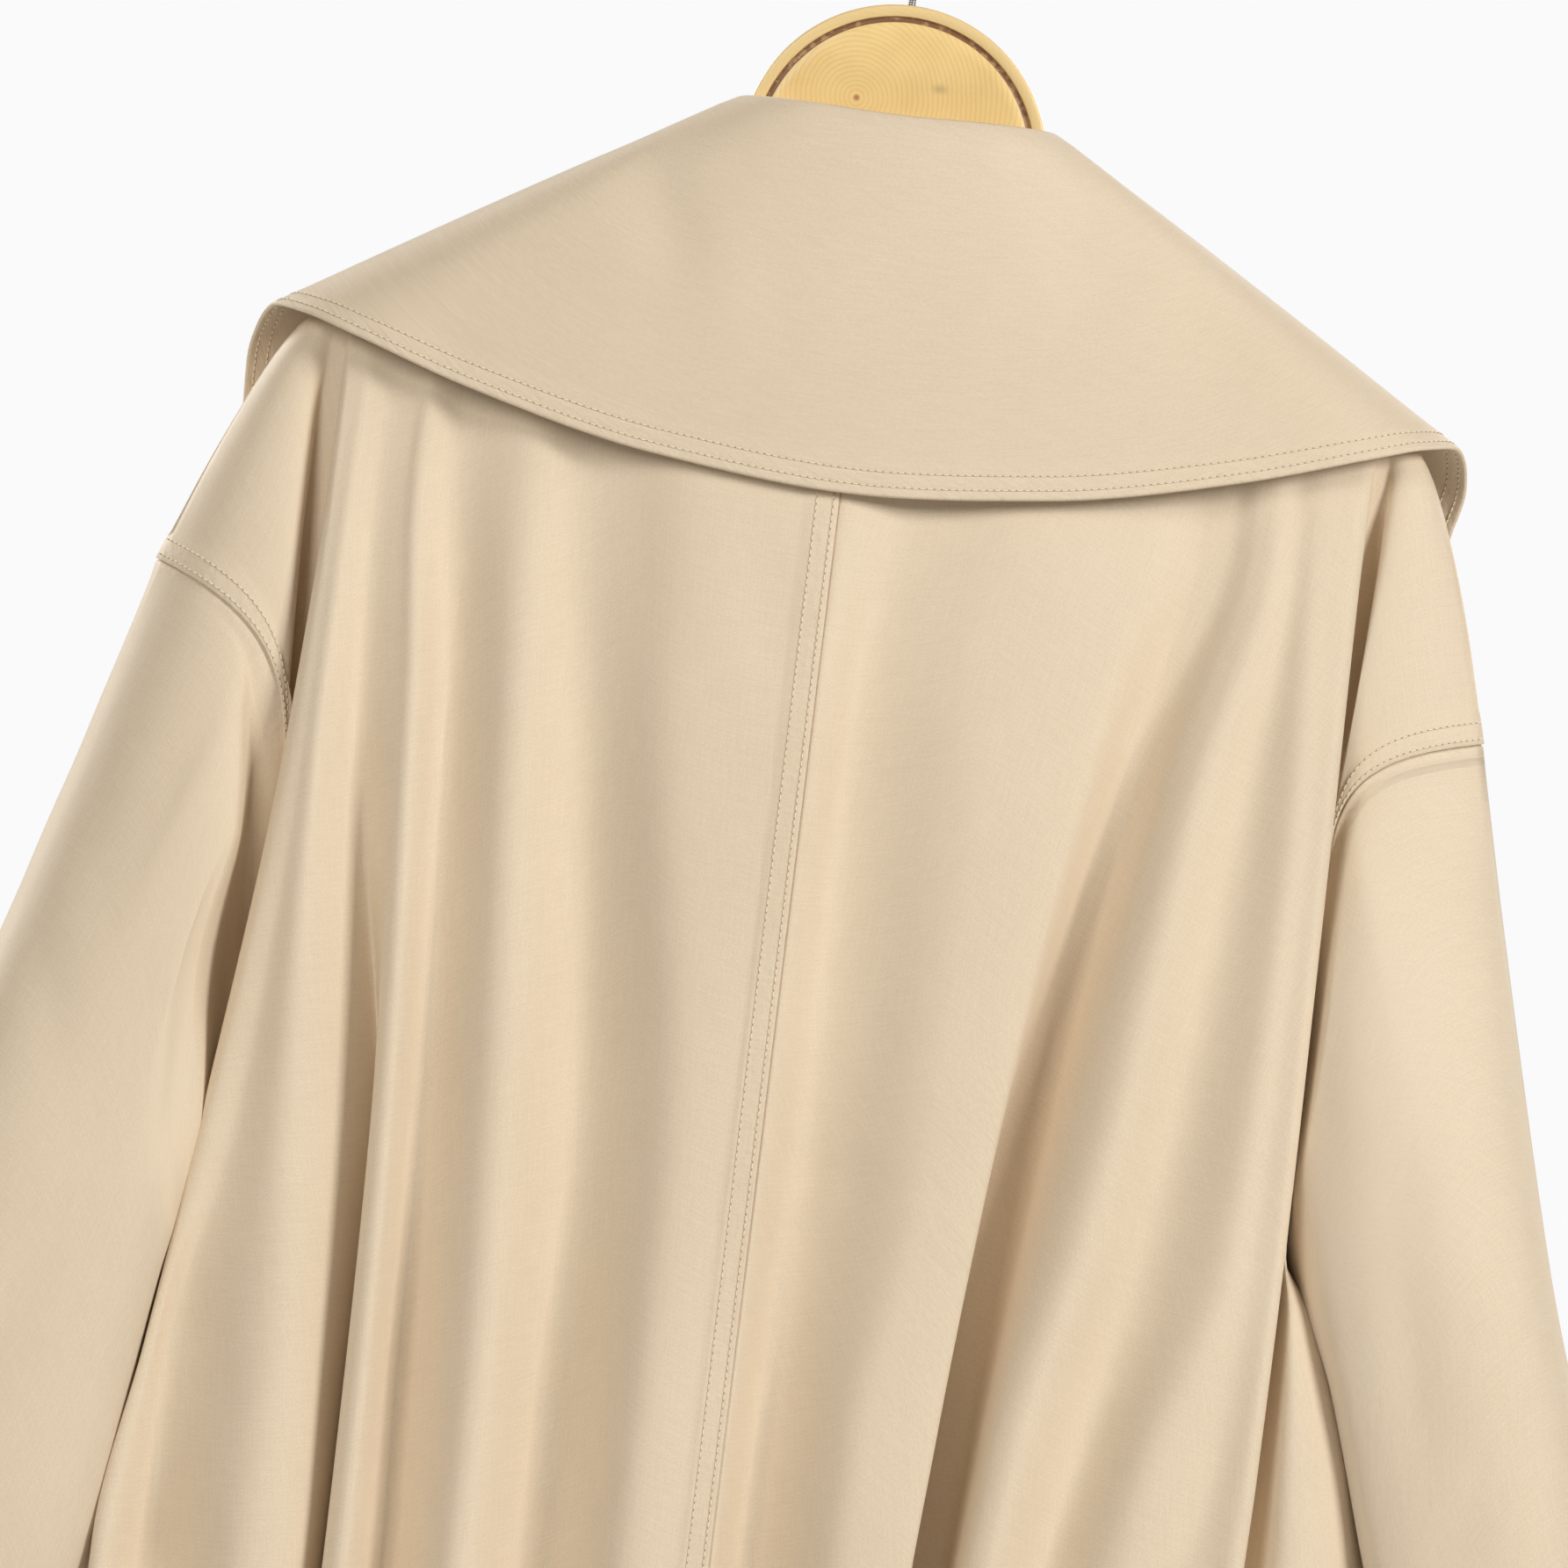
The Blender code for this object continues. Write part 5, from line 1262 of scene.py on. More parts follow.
# %% Cut and turn the collar
def collar_grid():
    """Points of the outer side. A band rises inside the neck to the roll. Below it a point is roll +
    share * (edge - roll) + swell * sin(pi share^0.8) outward, and near the edge the share follows
    EDGE_STEPS."""
    roll, edge, stand, swell, front = collar_lines()
    fall = edge - roll
    along = unit(np.gradient(roll, axis=0))
    face = unit(np.cross(np.gradient(roll + edge, axis=0), fall))
    face = face * np.sign(face[len(roll) // 2, 1])
    front = np.clip(front, 0, 1)
    heading = unit(fall - along * (fall * along).sum(1, keepdims=True))
    straight = unit(np.array([0, 0, -1]) * (1 - front) - face * front)
    depth = np.where(roll[:, 1] > 0, NECK_ROLL[1], NECK_ROLL[2])
    round_neck = unit(np.stack([roll[:, 0] / NECK_ROLL[0] ** 2, roll[:, 1] / depth**2, 0 * depth], 1))
    away = unit(round_neck * (1 - front) + heading * front)
    inward = unit(straight * (away * straight).sum(1, keepdims=True) - away)
    crest = -unit(heading + straight)

    def falling(share):
        return roll + fall * share + face * swell * np.sin(math.pi * share**0.8)

    band = [roll + inward * off + straight * stand * share for share, off in BAND_ROWS]
    knots = np.array((0, 8.0, 14.0, 19.0, 24.0))
    turned = [*band, roll + inward * 2.6 + crest * 1.4, falling(ROLL_END)]
    band = smooth(knots, np.array(turned), filled(knots, 1.6))
    length = np.linalg.norm(fall, axis=1)[:, None]
    last = 1 - EDGE_STEPS[0] / length
    main = [falling(ROLL_END + (last - ROLL_END) * k) for k in np.linspace(0, 1, 30)[1:-1]]
    rim = [falling(1 - step / length) for step in EDGE_STEPS]
    return np.array([*band, *main, *rim]).transpose(1, 0, 2)


def turn_collar():
    """The collar with its stitches on both sides. The rows pull its layers together, and between them it is
    thicker by 2 * puff."""
    grid = collar_grid()
    turn = 1.0 if grid_normals(grid)[len(grid) // 2, -2, 1] > 0 else -1.0
    grid = creased(grid, grid_normals(grid, turn), COLLAR_CREASES)
    from_edge = run_back(grid, 1)
    puff = fell(from_edge, EDGE_ROWS, *COLLAR_PUFF)
    grid = grid + grid_normals(grid, turn) * puff[..., None]
    normals = grid_normals(grid, turn)
    thickness = COLLAR_CLOTH + 2 * puff
    inner = grid - normals * thickness[..., None]
    layers = last_row_first(grid, normals, from_edge), last_row_first(inner, -normals, from_edge)
    lines = [line_on(*layer, row) for layer in layers for row in EDGE_ROWS]
    piece = cloth_wall("collar", grid, normals, thickness, from_edge, turn)
    sewing = stitch_rows("collar_stitches", lines)
    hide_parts("collar")
    print("collar grid", grid.shape[:2], "edge", round(float(run_length(grid, 0)[-1, -1]), 1))


turn_collar()

# %% [markdown]
# ## Belt, loops, buckle and buttons
# The belt is a strip of two layers with stitched edges. It goes once round over the coat, through the
# buckle, and back over itself as a tail. Each hard or rolled piece here is one section carried along a
# path, so one function makes them all. The belt's section is a flat bar with round edges and a dent along
# each stitch row.


# %% Sweep a section along a path
SWEPT_SEAM = 4.0


def swept(name, rings, finish, loop=False):
    """A tube through rings of points, with the distance along it and round it as its UV. It closes on
    itself with `loop`, and otherwise ends in a flat cap at each end."""
    count, sides = rings.shape[:2]
    index = np.arange(count * sides).reshape(count, sides)
    table, path = (ringed(ringed(item) if loop else item, 1) for item in (index, rings))
    uv = np.stack([run_length(path, 0), run_length(path, 1)], 2) * MM
    faces = quads(table).reshape(-1, 4).tolist()
    corners = quads(uv).reshape(-1, 2)
    if not loop:
        faces += [index[0].tolist(), index[-1][::-1].tolist()]
        corners = np.concatenate([corners, uv[0, :-1], uv[-1, :-1][::-1]])
    # Each place is marked as lying a little way from a seam, so cloth puckers there slightly
    marks = {"seam": np.full(count * sides, SWEPT_SEAM)}
    return new_piece(name, rings.reshape(-1, 3), faces, finish, corners, marks)


def carried(path, side, up, section):
    """Rings of a section of (aside, up) rows, along a path with a side and an up direction at each
    point."""
    section = np.asarray(section, float)
    return path[:, None] + side[:, None] * section[:, :1] + up[:, None] * section[:, 1:]


def all_quarters(arc):
    """A quarter of an outline with its three mirror images, anticlockwise."""
    return np.concatenate([arc, arc[::-1] * (-1, 1), -arc, arc[::-1] * (1, -1)])


def quarter_arc(steps):
    """Places on a quarter circle, from (1, 0) to (0, 1)."""
    turn = np.linspace(0, math.pi / 2, steps)
    return np.stack([np.cos(turn), np.sin(turn)], 1)


def circle(steps):
    """Places on a whole circle, as (aside, up) rows."""
    turn = np.arange(steps) * 2 * math.pi / steps
    return np.stack([np.cos(turn), np.sin(turn)], 1)


def round_bar(half_width, half_height, radius, steps=5):
    """The outline of a bar with round edges, as (aside, up) rows."""
    return all_quarters(np.array((half_width, half_height)) - radius + radius * quarter_arc(steps))


# %% Belt sizes
BELT_WIDTH = 40.0
BELT_CLOTH = 2.2
BELT_TAIL = 150.0
# Over how much of its length the belt climbs onto its own start, and how far before it
CLIMB_LENGTH = 50
CLIMB_START = 60
BELT_GROOVE = (0.3, 0.7)
LOOP_WIDTH = 12.0
LOOP_CLOTH = 1.4
SEAM_GAP = 0.3
UP = np.array((0.0, 0.0, 1.0))
FORWARD = np.array((0.0, -1.0, 0.0))


def belt_line(run):
    """A point and outward direction on the belt's inner side, for a run round it from the middle of the
    front, worked out from the quarter that it lies in."""
    quarter = belt_quarter(0.0)[2]
    run = np.mod(np.asarray(run, float), 4 * quarter)
    to_back = 2 * quarter - run
    near_front = np.abs(to_back) > quarter
    folded = np.where(near_front, np.sign(to_back) * (2 * quarter - np.abs(to_back)), to_back)
    line, outward, _ = belt_quarter(folded)
    flip = np.where(near_front, -1.0, 1.0)
    line[..., 1] *= flip
    outward[..., 1] *= flip
    level = np.zeros(line.shape[:-1] + (1,))
    points = np.concatenate([line + outward * BELT_EASE / 2, level + BELT_Z], -1)
    return points, np.concatenate([outward, level], -1)


print("belt height", BELT_Z)


# %% Tie the belt
def belt_section():
    """(Outward, up) rows round the belt: the outer side with its two grooves, then the inner side."""
    half, radius = BELT_WIDTH / 2, BELT_CLOTH / 2
    turn = np.linspace(0, math.pi, 7)[1:-1]
    cap = np.stack([radius * (1 + np.cos(turn)), half - radius * (1 - np.sin(turn))], 1)
    upper = np.array((0, 5, 10, 15.2, 16.0, 16.5, 16.9, 17.3, 17.8, 18.6))
    heights = np.concatenate([-upper[:0:-1], upper])
    deep, wide = BELT_GROOVE
    outer = np.stack([BELT_CLOTH - deep * bell(half - np.abs(heights), EDGE_ROWS[0], wide), heights], 1)
    inner = np.array([(0, 18.0), (0, 6), (0, -6), (0, -18.0)])
    return np.concatenate([outer, cap, inner, cap[::-1] * (1, -1)])


def tie_belt():
    """The belt once round, with its tail over its own start, and a row of stitches along both edges."""
    once = 4 * belt_quarter(0.0)[2]
    places = filled((0, once, once + BELT_TAIL), 5.0)
    line, outward = belt_line(places)
    lift = ease((places - (once - CLIMB_START)) / CLIMB_LENGTH) * (BELT_CLOTH + SEAM_GAP * 2)
    line = line + outward * lift[:, None]
    up = np.broadcast_to(UP, outward.shape)
    rings = carried(line, outward, up, belt_section())
    piece = swept("belt", rings[::-1], CLOTH_FINISH)
    to_row = BELT_WIDTH / 2 - EDGE_ROWS[0]
    rows = [(line + outward * (BELT_CLOTH - 0.25) + up * way * to_row, outward) for way in (-1, 1)]
    sewing = stitch_rows("belt_stitches", rows)
    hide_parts("belt")
    length = (once + BELT_TAIL) * MM
    length * BELT_WIDTH * MM
    print("belt", round(length, 3), "m long")


tie_belt()


# %% [markdown]
# A loop keeps the belt in its place. On a coat it is a narrow tube of cloth, pressed flat and sewn in
# above and below. It bends out of the coat, crosses the belt and bends back, so its path is two quarter
# bends and a straight part.

# %% Belt loops
def belt_loop(name, run):
    """A narrow strip that leaves the coat above the belt, passes over it and meets the coat again below."""
    line, outward = belt_line(run)
    aside = np.cross(outward, UP)
    near, far = -BELT_EASE / 3, BELT_CLOTH + SEAM_GAP + LOOP_CLOTH / 2
    high = BELT_WIDTH / 2 + 1
    turn = np.linspace(0, math.pi / 2, 6)
    bend = np.stack([near + (far - near) * np.sin(turn), high + LOOP_CLOTH * np.cos(turn)], 1)
    profile = np.concatenate([bend, [(far, 7), (far, -7)], bend[::-1] * (1, -1)])
    path = line + profile[:, :1] * outward + profile[:, 1:] * UP
    ahead = unit(np.gradient(path, axis=0))
    section = round_bar(LOOP_WIDTH / 2, LOOP_CLOTH / 2, LOOP_CLOTH / 2 - 0.05, 4)
    rings = carried(path, np.broadcast_to(aside, path.shape), np.cross(ahead, aside), section)
    piece = swept(name, rings, CLOTH_FINISH)
    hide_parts(name)


quarter = belt_quarter(0.0)[2]
for name, turns in (("belt_loop_left", 1), ("belt_loop_back", 2), ("belt_loop_right", 3)):
    belt_loop(name, turns * quarter)
print("belt loops 3")

# %% [markdown]
# Buckle and buttons are horn, or look like it: brown, with paler streaks that run through the plate they
# were cut from, and polished. A button is turned with a rim and a dished middle. It has four holes and a
# cross of thread that holds it to the cloth. The buckle is sawn from a flat plate, and its edges are
# rounded.


# %% Horn finish
def horn_finish():
    """Streaks: noise stretched along one direction of the slice, darker toward the cloudy places."""
    horn = Finish("horn", Specular_IOR_Level=0.5, Coat_Roughness=0.18)
    whole, x, y, z = horn.place()
    streak = horn.noise(horn.vector(x * 260.0, y * 40.0, z * 70.0), 1.0, 4.0, 0.6)
    cloud = horn.noise(whole, 60.0, 2.0)
    tone = (streak * 0.7 + cloud * 0.5).step(0.35, 0.85)
    color = horn.mix(tone, (0.085, 0.045, 0.02), (0.42, 0.26, 0.13))
    rough = cloud.step(0.3, 0.7, 0.26, 0.38)
    normal = horn.bump(horn.noise(whole, 900.0, 3.0), 0.02)
    gloss = streak.step(0.2, 0.8, 0.3, 0.5)
    return horn.finish(Base_Color=color, Roughness=rough, Normal=normal, Coat_Weight=gloss)


HORN_FINISH = horn_finish()

# %% Buckle
# Half-width and half-height of the frame, its bar's width and thickness, its corners' outer radius, and the
# thickness and height of the bar that crosses it
BUCKLE_HALF = (27.0, 27.5)
BUCKLE_BAR = 4.0
BUCKLE_THICK = 3.0
BUCKLE_CORNER = 5.0
PRONG = (2.0, 3.2)


def make_buckle():
    """A round-edged bar once round a square with round corners, and the bar that crosses it in front of the
    belt."""
    back = -(BELT_HALF[1] + BELT_EASE / 2 + 2 * BELT_CLOTH + SEAM_GAP * 3)
    half = [size - BUCKLE_BAR / 2 for size in BUCKLE_HALF]
    outline = round_bar(*half, BUCKLE_CORNER - BUCKLE_BAR / 2, 9)
    away = all_quarters(quarter_arc(9))
    middle = np.full(len(outline), back - BUCKLE_THICK / 2)
    path = np.stack([outline[:, 0], middle, outline[:, 1] + BELT_Z], 1)
    side = np.stack([away[:, 0], 0 * away[:, 0], away[:, 1]], 1)
    section = round_bar(BUCKLE_BAR / 2, BUCKLE_THICK / 2, 1.0)
    rings = carried(path, side, np.broadcast_to(FORWARD, side.shape), section)
    frame_ring = swept("buckle_frame", rings, HORN_FINISH, loop=True)
    long = np.linspace(-BUCKLE_HALF[0] + 0.5, BUCKLE_HALF[0] - 0.5, 12)
    front = back - BUCKLE_THICK - SEAM_GAP - PRONG[0] / 2
    line = np.stack([long, 0 * long + front, 0 * long + BELT_Z], 1)
    ahead = np.broadcast_to(FORWARD, line.shape)
    section = round_bar(PRONG[0] / 2, PRONG[1] / 2, 0.9)
    rings = carried(line, ahead, np.broadcast_to(UP, line.shape), section)
    rings[[0, -1]] = line[[0, -1], None] + (rings[[0, -1]] - line[[0, -1], None]) * 0.7
    prong = swept("buckle_prong_bar", rings[::-1], HORN_FINISH)
    for piece in (frame_ring, prong):
        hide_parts(piece.name.rsplit("_", 1)[0])
    print("buckle", [2 * size for size in BUCKLE_HALF])


make_buckle()

# %% Button sizes
BUTTON_RADIUS = 13.0
BUTTON_THICK = 3.6
BUTTON_COLUMNS = (42.0, -42.0)
BUTTON_ROWS = (-430.0, -530.0, -630.0)
# How far round a button the cloth is looked at to lay it on
BUTTON_REACH = 50.0
# Holes: distance from the middle on both axes, radius and depth
HOLE_OUT = 2.6
HOLE_RADIUS = 1.0
HOLE_DEPTH = 1.3
THREAD_RADIUS = 0.42
# Distance out, as a share of the radius, and height over the back as a share of the thickness
BUTTON_RIM = ((0, 0), (0.5, 0), (0.8, 0.0), (0.9, 0.1), (0.97, 0.28), (1, 0.5), (0.985, 0.72), (0.95, 0.89),
              (0.9, 0.98), (0.85, 1.0), (0.8, 0.97), (0.75, 0.88), (0.7, 0.78), (0.6, 0.73), (0.5, 0.71))
BUTTON_DISH = 0.7
DISH_PLACES = (0.43, 0.37, 0.33, 0.28, 0.24, 0.2, 0.16, 0.12, 0.08, 0.04, 0)
BUTTON_PROFILE = (*BUTTON_RIM, *((out, BUTTON_DISH) for out in DISH_PLACES))
BUTTON_STEPS = 64
print("buttons", len(BUTTON_COLUMNS) * len(BUTTON_ROWS), "of", 2 * BUTTON_RADIUS, "mm")


# %% Turn and sew on the buttons
def lathe(profile, steps):
    """Points of (distance out, height) rows turned about the height axis, and faces with a fan at each
    end."""
    angles = np.arange(steps) * 2 * math.pi / steps
    out, height = np.array(profile, float)[1:-1].T
    body = np.stack([out[:, None] * np.cos(angles), out[:, None] * np.sin(angles),
                     np.broadcast_to(height[:, None], (len(out), steps))], 2)
    ends = np.array([[(0, 0, profile[0][1])], [(0, 0, profile[-1][1])]])
    points = np.concatenate([ends[0], body.reshape(-1, 3), ends[1]])
    ring = 1 + np.arange(len(out) * steps).reshape(len(out), steps)
    after = np.roll(ring, -1, axis=1)
    faces = np.stack([ring[:-1], after[:-1], after[1:], ring[1:]], 2).reshape(-1, 4).tolist()
    faces += np.stack([np.zeros(steps, int), after[0], ring[0]], 1).tolist()
    faces += np.stack([np.full(steps, len(points) - 1), ring[-1], after[-1]], 1).tolist()
    return points, faces


def sew_button(number, x, z, cloth):
    """A turned button, leaned onto the plane y = a + b (x - x0) + c (z - z0) that lies nearest the
    cloth."""
    near = cloth[np.hypot(cloth[:, 0] - x, cloth[:, 2] - z) < BUTTON_REACH]
    terms = np.column_stack([np.ones(len(near)), near[:, 0] - x, near[:, 2] - z])
    level, lean_x, lean_z = np.linalg.lstsq(terms, near[:, 1], rcond=None)[0]
    profile = [(out * BUTTON_RADIUS, up * BUTTON_THICK) for out, up in BUTTON_PROFILE]
    points, faces = lathe(profile, BUTTON_STEPS)
    holes = [(HOLE_OUT * sx, HOLE_OUT * sy) for sx in (-1, 1) for sy in (-1, 1)]
    front = points[:, 2] > BUTTON_THICK * 0.6
    for hole_x, hole_y in holes:
        far = np.hypot(points[:, 0] - hole_x, points[:, 1] - hole_y)
        points[:, 2] -= np.where(front, HOLE_DEPTH * (1 - ease((far / HOLE_RADIUS - 0.75) / 0.5)), 0)

    def placed(local):
        """From the button's own axes to the coat's: its height goes forward, out of the front."""
        across, up = local[..., 0], local[..., 1]
        y = level - SEAM_GAP * 1.5 - local[..., 2] + across * lean_x + up * lean_z
        return np.stack([x + across, y, z + up], -1)

    button = new_piece(f"button_{number}", placed(points), faces, HORN_FINISH)
    loops = []
    for (start_x, start_y), (end_x, end_y) in ((holes[0], holes[3]), (holes[1], holes[2])):
        share = np.linspace(0, 1, 9)
        rise = BUTTON_THICK * BUTTON_DISH - 0.9 + 1.35 * np.sin(math.pi * share) ** 0.5 + 0.12 * len(loops)
        path = np.stack([start_x + (end_x - start_x) * share, start_y + (end_y - start_y) * share, rise], 1)
        ahead = unit(np.gradient(path, axis=0))
        side = unit(np.cross(ahead, UP))
        loops.append(placed(carried(path, side, np.cross(side, ahead), THREAD_RADIUS * circle(8))))
    threads = [swept(f"button_{number}_thread_{k}", loop, THREAD_FINISH) for k, loop in enumerate(loops, 1)]
    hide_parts(f"button_{number}")


front_cloth = lapped(fine_panel("right", False), "right").reshape(-1, 3)
button_places = [(x, z) for z in BUTTON_ROWS for x in BUTTON_COLUMNS]
for number, (x, z) in enumerate(button_places, 1):
    sew_button(number, x, z, front_cloth)
print("buttons", len(button_places))

# %% [markdown]
# ## Hanger
# The plate is the upper slice of a round of pale wood, so its face shows growth rings round the pith. A
# groove is turned inside its rim. The arms are one rounded bar. The hook is a steel wire whose lower end
# is threaded into the plate. Rings could be painted on, but as distances from the pith they run on over
# the plate's edge.


# %% Hanger plate sizes
# The plate's radius, middle and flat bottom, half its thickness, and its rim and groove
PLATE_RADIUS = 59.0
PLATE_CENTRE_Z = -115.2
PLATE_BOTTOM_Z = -103.3
PLATE_HALF = 6.0
RIM_WIDTH = 4.6
GROOVE_WIDTH = 2.3
GROOVE_DEPTH = 1.2
GROOVE_OUTER = PLATE_RADIUS - RIM_WIDTH
GROOVE_INNER = PLATE_RADIUS - RIM_WIDTH - GROOVE_WIDTH
# Across and up of the pith and of a small knot, and the metres from one growth ring to the next
PITH = (16.8, -94.0)
KNOT = (-14.7, -87.0)
RING_PITCH = 0.0019
print("plate", 2 * PLATE_RADIUS, "mm across")


# %% Wood finishes
def start_wood(name):
    """A wood finish with its place on the piece, its fine fibres and its large cloudy patches."""
    wood = Finish(name, Specular_IOR_Level=0.4, Coat_Roughness=0.35)
    place = wood.place()
    return wood, place, wood.noise(place[0], 1500.0, 2.0), wood.noise(place[0], 45.0, 3.0)


def varnished(wood, color, height, fibre, cloud):
    """The wood's material, with a thin uneven coat of varnish over its relief."""
    return wood.finish(Base_Color=color, Roughness=fibre.step(0.2, 0.8, 0.38, 0.5),
                       Normal=wood.bump(height, 0.05), Coat_Weight=cloud.step(0.2, 0.8, 0.25, 0.45))


def plate_wood():
    """End grain: rings at even distances from the pith, wavered by noise, and darker in the turned
    groove."""
    wood, (whole, x, y, z), fibre, cloud = start_wood("plate_wood")
    across, up = x - PITH[0] * MM, z - PITH[1] * MM
    from_pith = (across * across + up * up) ** 0.5 + wood.noise(whole, 60.0, 3.0) * 0.003
    ring = ((from_pith * (2 * math.pi / RING_PITCH)).math("SINE") * 0.5 + 0.5) ** 2.0
    tone = (ring * 0.17 + cloud * 0.55 + fibre * 0.25).step(0.1, 1.0)
    color = wood.mix(tone, (0.96, 0.70, 0.30), (0.72, 0.46, 0.165))
    pith = (across * across + up * up) ** 0.5
    color = wood.mix(pith.step(0.0005, 0.0016, 0.8, 0.0), color, (0.36, 0.11, 0.05))
    knot_x, knot_z = x - KNOT[0] * MM, z - KNOT[1] * MM
    knot = (knot_x * knot_x * 0.6 + knot_z * knot_z * 1.8) ** 0.5 + cloud * 0.003
    color = wood.mix(knot.step(0.001, 0.0055, 0.5, 0.0), color, (0.33, 0.25, 0.15))
    middle = z - PLATE_CENTRE_Z * MM
    out = (x * x + middle * middle) ** 0.5 * 1000.0
    bark = wood.noise(whole, 330.0, 3.0)
    groove = out.near((GROOVE_INNER + GROOVE_OUTER) / 2, GROOVE_WIDTH * 0.8).step(0.15, 0.55)
    color = wood.mix(groove, color, (0.23, 0.105, 0.045))
    color = wood.mix(groove * bark.step(0.5, 0.62), color, (0.42, 0.24, 0.11))
    rim = out.step(GROOVE_OUTER + 0.2, GROOVE_OUTER + 0.9)
    color = wood.mix(rim * 0.75, color, (0.84, 0.62, 0.30))
    return varnished(wood, color, ring * 0.2 + fibre * 0.5, fibre, cloud)


def bar_wood():
    """Long grain: noise stretched along the bar."""
    wood, (whole, x, y, z), fibre, cloud = start_wood("pale_wood")
    grain = wood.noise(wood.vector(x * 12.0, y * 420.0, z * 300.0), 1.0, 4.0, 0.6)
    tone = (grain * 0.8 + cloud * 0.3).step(0.3, 0.8)
    color = wood.mix(tone, (0.76, 0.52, 0.24), (0.55, 0.33, 0.13))
    return varnished(wood, color, grain * 0.6 + fibre * 0.3, fibre, cloud)


PLATE_FINISH = plate_wood()
BAR_FINISH = bar_wood()
print("finishes", PLATE_FINISH.name, BAR_FINISH.name)


# %% Hanger plate
def make_plate():
    """Profile rows of (distance out, set back), each an arc between the two places where it meets the flat
    bottom."""
    half, floor = PLATE_HALF, PLATE_HALF - GROOVE_DEPTH
    edge = [(PLATE_RADIUS - 1.2 * (1 - math.sin(a)), half - 1.2 * (1 - math.cos(a)))
            for a in np.linspace(0, math.pi / 2, 5)]
    side = [(24, half), (38, half), (48, half),
            (GROOVE_INNER - 0.25, half), (GROOVE_INNER, half - 0.2),
            (GROOVE_INNER + 0.25, floor + 0.2), (GROOVE_INNER + 0.5, floor),
            (GROOVE_OUTER - 0.5, floor), (GROOVE_OUTER - 0.25, floor + 0.2),
            (GROOVE_OUTER, half - 0.2), (GROOVE_OUTER + 0.25, half), *edge]
    profile = np.array([*side, *[(out, -back) for out, back in side[::-1]]])
    start = np.arcsin((PLATE_BOTTOM_Z - PLATE_CENTRE_Z) / profile[:, 0])[:, None]
    angle = start + (math.pi - 2 * start) * np.linspace(0, 1, 129)
    x = profile[:, :1] * np.cos(angle)
    z = PLATE_CENTRE_Z + profile[:, :1] * np.sin(angle)
    body = np.stack([x, np.broadcast_to(profile[:, 1:], x.shape), z], 2)
    hubs = np.array([(0, half, PLATE_BOTTOM_Z), (0, -half, PLATE_BOTTOM_Z)])
    ring = 2 + np.arange(body.shape[0] * body.shape[1]).reshape(body.shape[:2])
    faces = quads(ring).reshape(-1, 4)[:, ::-1].tolist()
    faces += [[0, b, a] for a, b in zip(ring[0, :-1], ring[0, 1:])]
    faces += [[1, a, b] for a, b in zip(ring[-1, :-1], ring[-1, 1:])]
    faces.append([0, *ring[:, 0], 1, *ring[::-1, -1]])
    faces = [list(map(int, face)) for face in faces]
    piece = new_piece("hanger_plate", np.concatenate([hubs, body.reshape(-1, 3)]), faces, PLATE_FINISH)
    piece.data.set_sharp_from_angle(angle=math.radians(50))
    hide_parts("hanger_plate")


make_plate()

# %% [markdown]
# The arms are shaped by hand from one bar: thick in the middle, thinner towards the ends, with rounded
# edges. The hook is bent from wire. Both are a section carried along a path, and the coat's shoulder line
# gives the path of the arms, so the cloth lies on them.

# %% Hanger arms and hook
# Half the bar's length, where it starts to rise to the plate, and its knots
ARM_END = 196.0
ARM_MIDDLE = 46.0
ARM_PLACES = (0, 28, ARM_MIDDLE, 51, 66, 80, 100, 125, 150, 175, 190, ARM_END)
# Half-thickness, height, and how far it lies under the shoulder line
ARM_HALF = 5.0
ARM_HEIGHT = 24.0
ARM_DROP = 3.6
ARM_SIDES = 24
# Radius of the wire and of the hook's inside, how deep the stem sits, and its thread's depth and pitch
HOOK_WIRE = 1.6
HOOK_INNER = 18.0
STEM_DEPTH = 15.0
THREAD_CUT = 0.22
THREAD_PITCH = 0.9


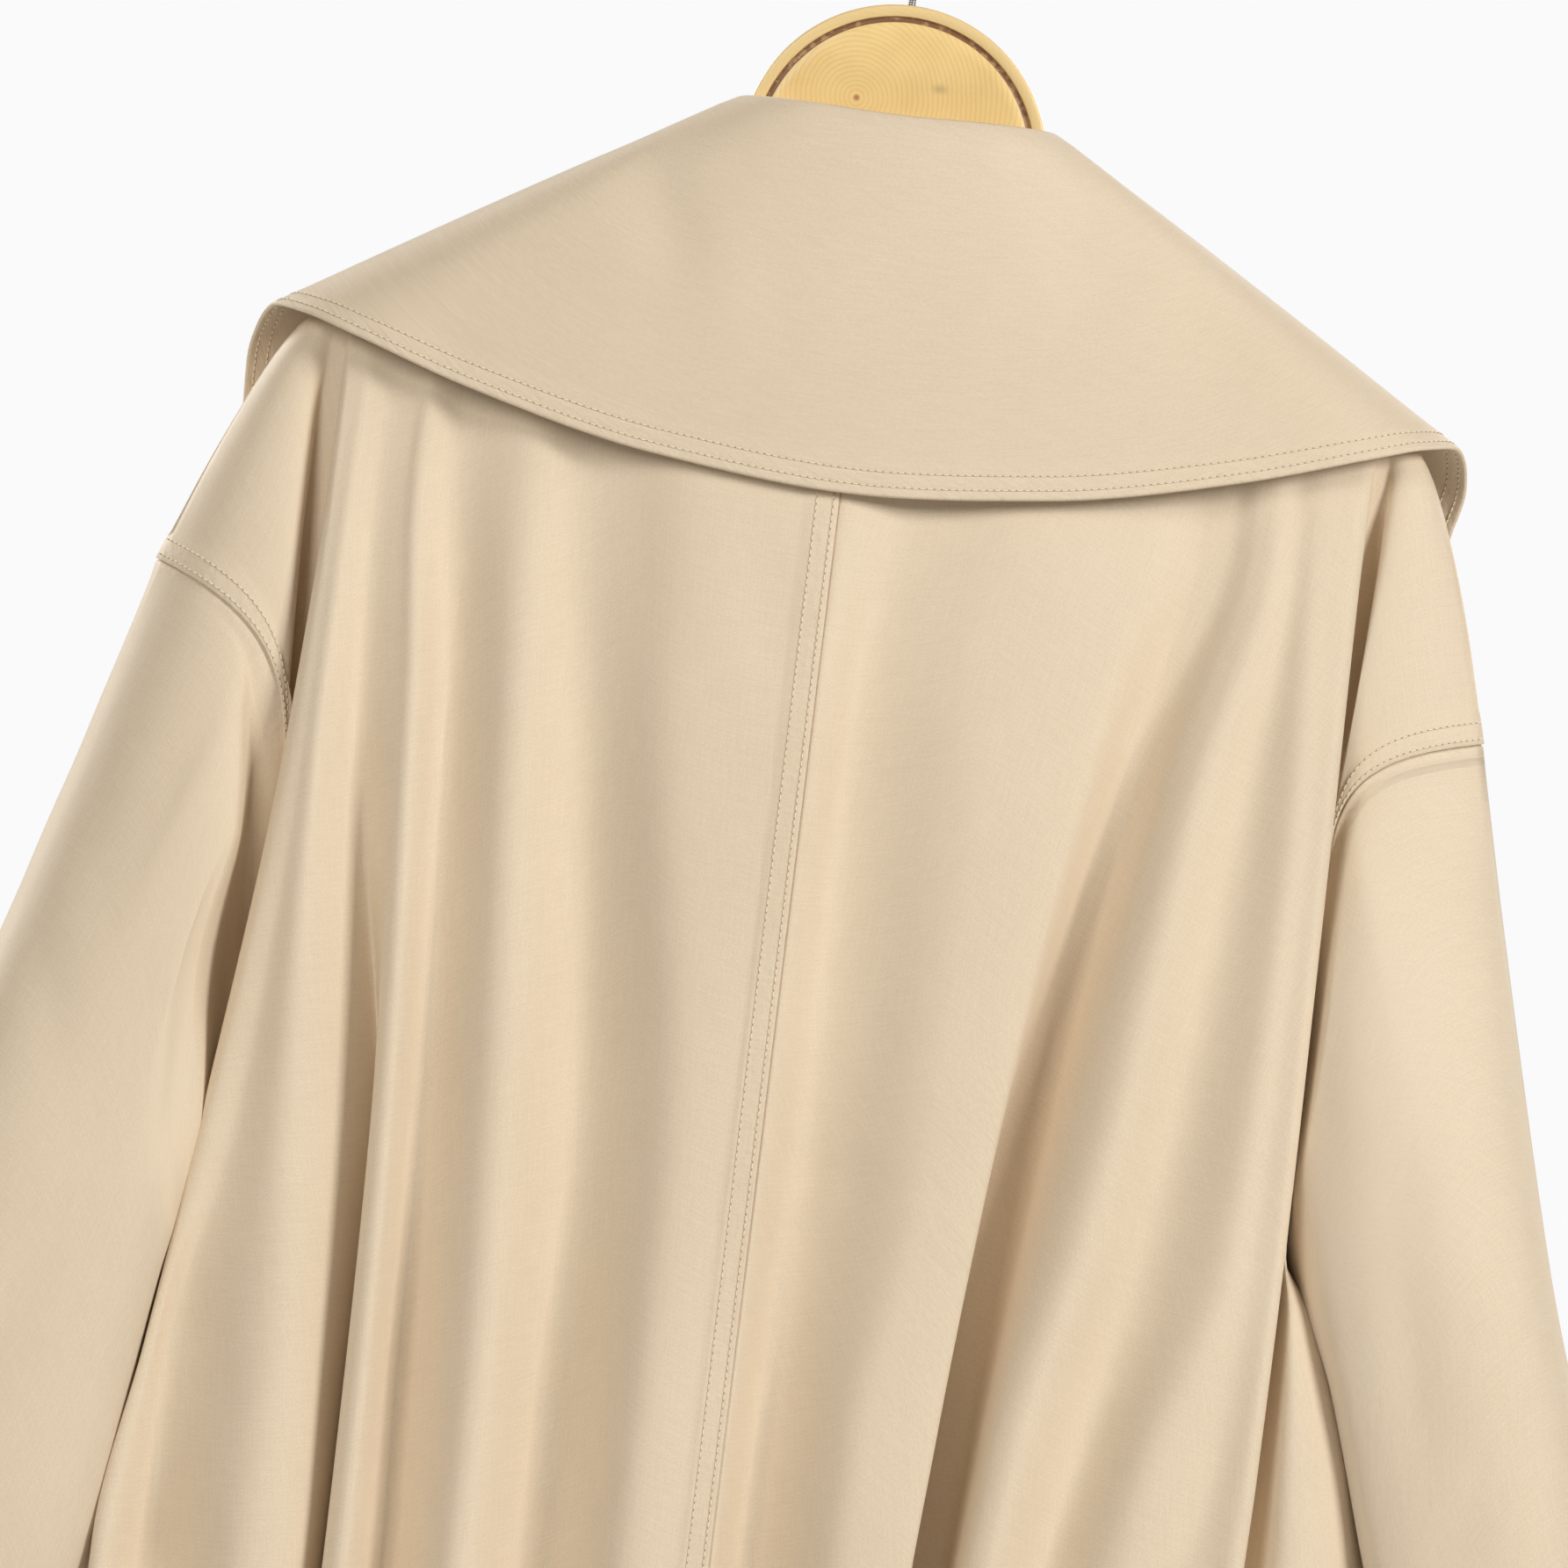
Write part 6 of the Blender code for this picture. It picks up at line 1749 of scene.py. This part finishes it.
def make_arms():
    """A rounded section under the shoulder line. Its middle rises to the plate, and its ends taper."""
    half = np.array(ARM_PLACES)
    on_neck = np.maximum(half, NECK_HALF)
    shoulder = np.minimum(shoulder_height("left", on_neck), shoulder_height("right", on_neck))
    under_cloth = shoulder - ARM_DROP - np.where(half < NECK_HALF + 4, 2, 0)
    top = np.where(half <= ARM_MIDDLE, PLATE_BOTTOM_Z - SEAM_GAP, under_cloth)
    at = filled(half, 2.5)
    top = smooth(half, top, at)
    across = np.concatenate([-at[1:][::-1], at])
    top = np.concatenate([top[1:][::-1], top])
    to_end = ARM_END - np.abs(across)
    depth = ARM_HALF * (0.87 + 0.13 * to_end / ARM_END) * np.sqrt(np.clip(to_end / 6, 0.12, 1))
    height = ARM_HEIGHT * (0.62 + 0.38 * np.clip(to_end / 120, 0, 1)) * np.clip(to_end / 14, 0.45, 1)
    turn = np.linspace(0, 2 * math.pi, ARM_SIDES, endpoint=False)
    aside = np.sign(np.cos(turn)) * np.abs(np.cos(turn)) ** 0.7
    down = 0.5 - 0.5 * np.sign(np.sin(turn)) * np.abs(np.sin(turn)) ** 0.7
    rings = np.stack([np.broadcast_to(across[:, None], (len(across), ARM_SIDES)), depth[:, None] * aside,
                      top[:, None] - height[:, None] * down], 2)
    piece = swept("hanger_bar", rings[::-1], BAR_FINISH)
    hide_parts("hanger_bar")


def make_hook():
    """A wire through the stem and the hook's arc. The stem's radius goes up and down once for each turn
    of its thread."""
    steel = Finish("hook_metal", Metallic=1.0, Specular_IOR_Level=0.5)
    whole = steel.place()[0]
    worn = steel.noise(whole, 220.0, 3.0)
    color = steel.mix(worn, (0.20, 0.19, 0.18), (0.36, 0.35, 0.34))
    brushed = steel.bump(steel.noise(whole, 1500.0), 0.01)
    steel.finish(Base_Color=color, Roughness=worn.step(0.2, 0.8, 0.3, 0.5), Normal=brushed)
    radius = HOOK_INNER + HOOK_WIRE
    bend = np.radians(np.linspace(-84, 208, 90))
    arc = np.stack([radius * np.cos(bend), 0 * bend, radius * np.sin(bend) - HOOK_INNER], 1)
    plate_top = PLATE_CENTRE_Z + PLATE_RADIUS
    low = plate_top - STEM_DEPTH + 2
    knots = np.array([(0, 0, low), (0, 0, plate_top), (0, 0, arc[0, 2] - 9), arc[0]])
    stem = smooth(knots[:, 2], knots, filled(knots[:, 2], 0.3))
    path = np.concatenate([stem[:-1], arc])
    ahead = unit(np.gradient(path, axis=0))
    side = np.broadcast_to(np.array((0.0, 1.0, 0.0)), ahead.shape)
    wire = np.full(len(path), HOOK_WIRE)
    threaded = (path[:, 2] < plate_top + 9) & (np.arange(len(path)) < len(stem))
    cut = THREAD_CUT * (0.5 + 0.5 * np.cos(2 * math.pi * path[:, 2] / THREAD_PITCH))
    wire = wire - np.where(threaded, cut, 0)
    wire[[0, -1]] *= 0.6
    section = circle(20)
    spokes = side[:, None] * section[:, :1] + np.cross(ahead, side)[:, None] * section[:, 1:]
    rings = path[:, None] + wire[:, None, None] * spokes
    piece = swept("hanger_hook", rings, steel.material)
    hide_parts("hanger_hook")


make_arms()
make_hook()
print("hanger of", 2 * ARM_END, "mm")
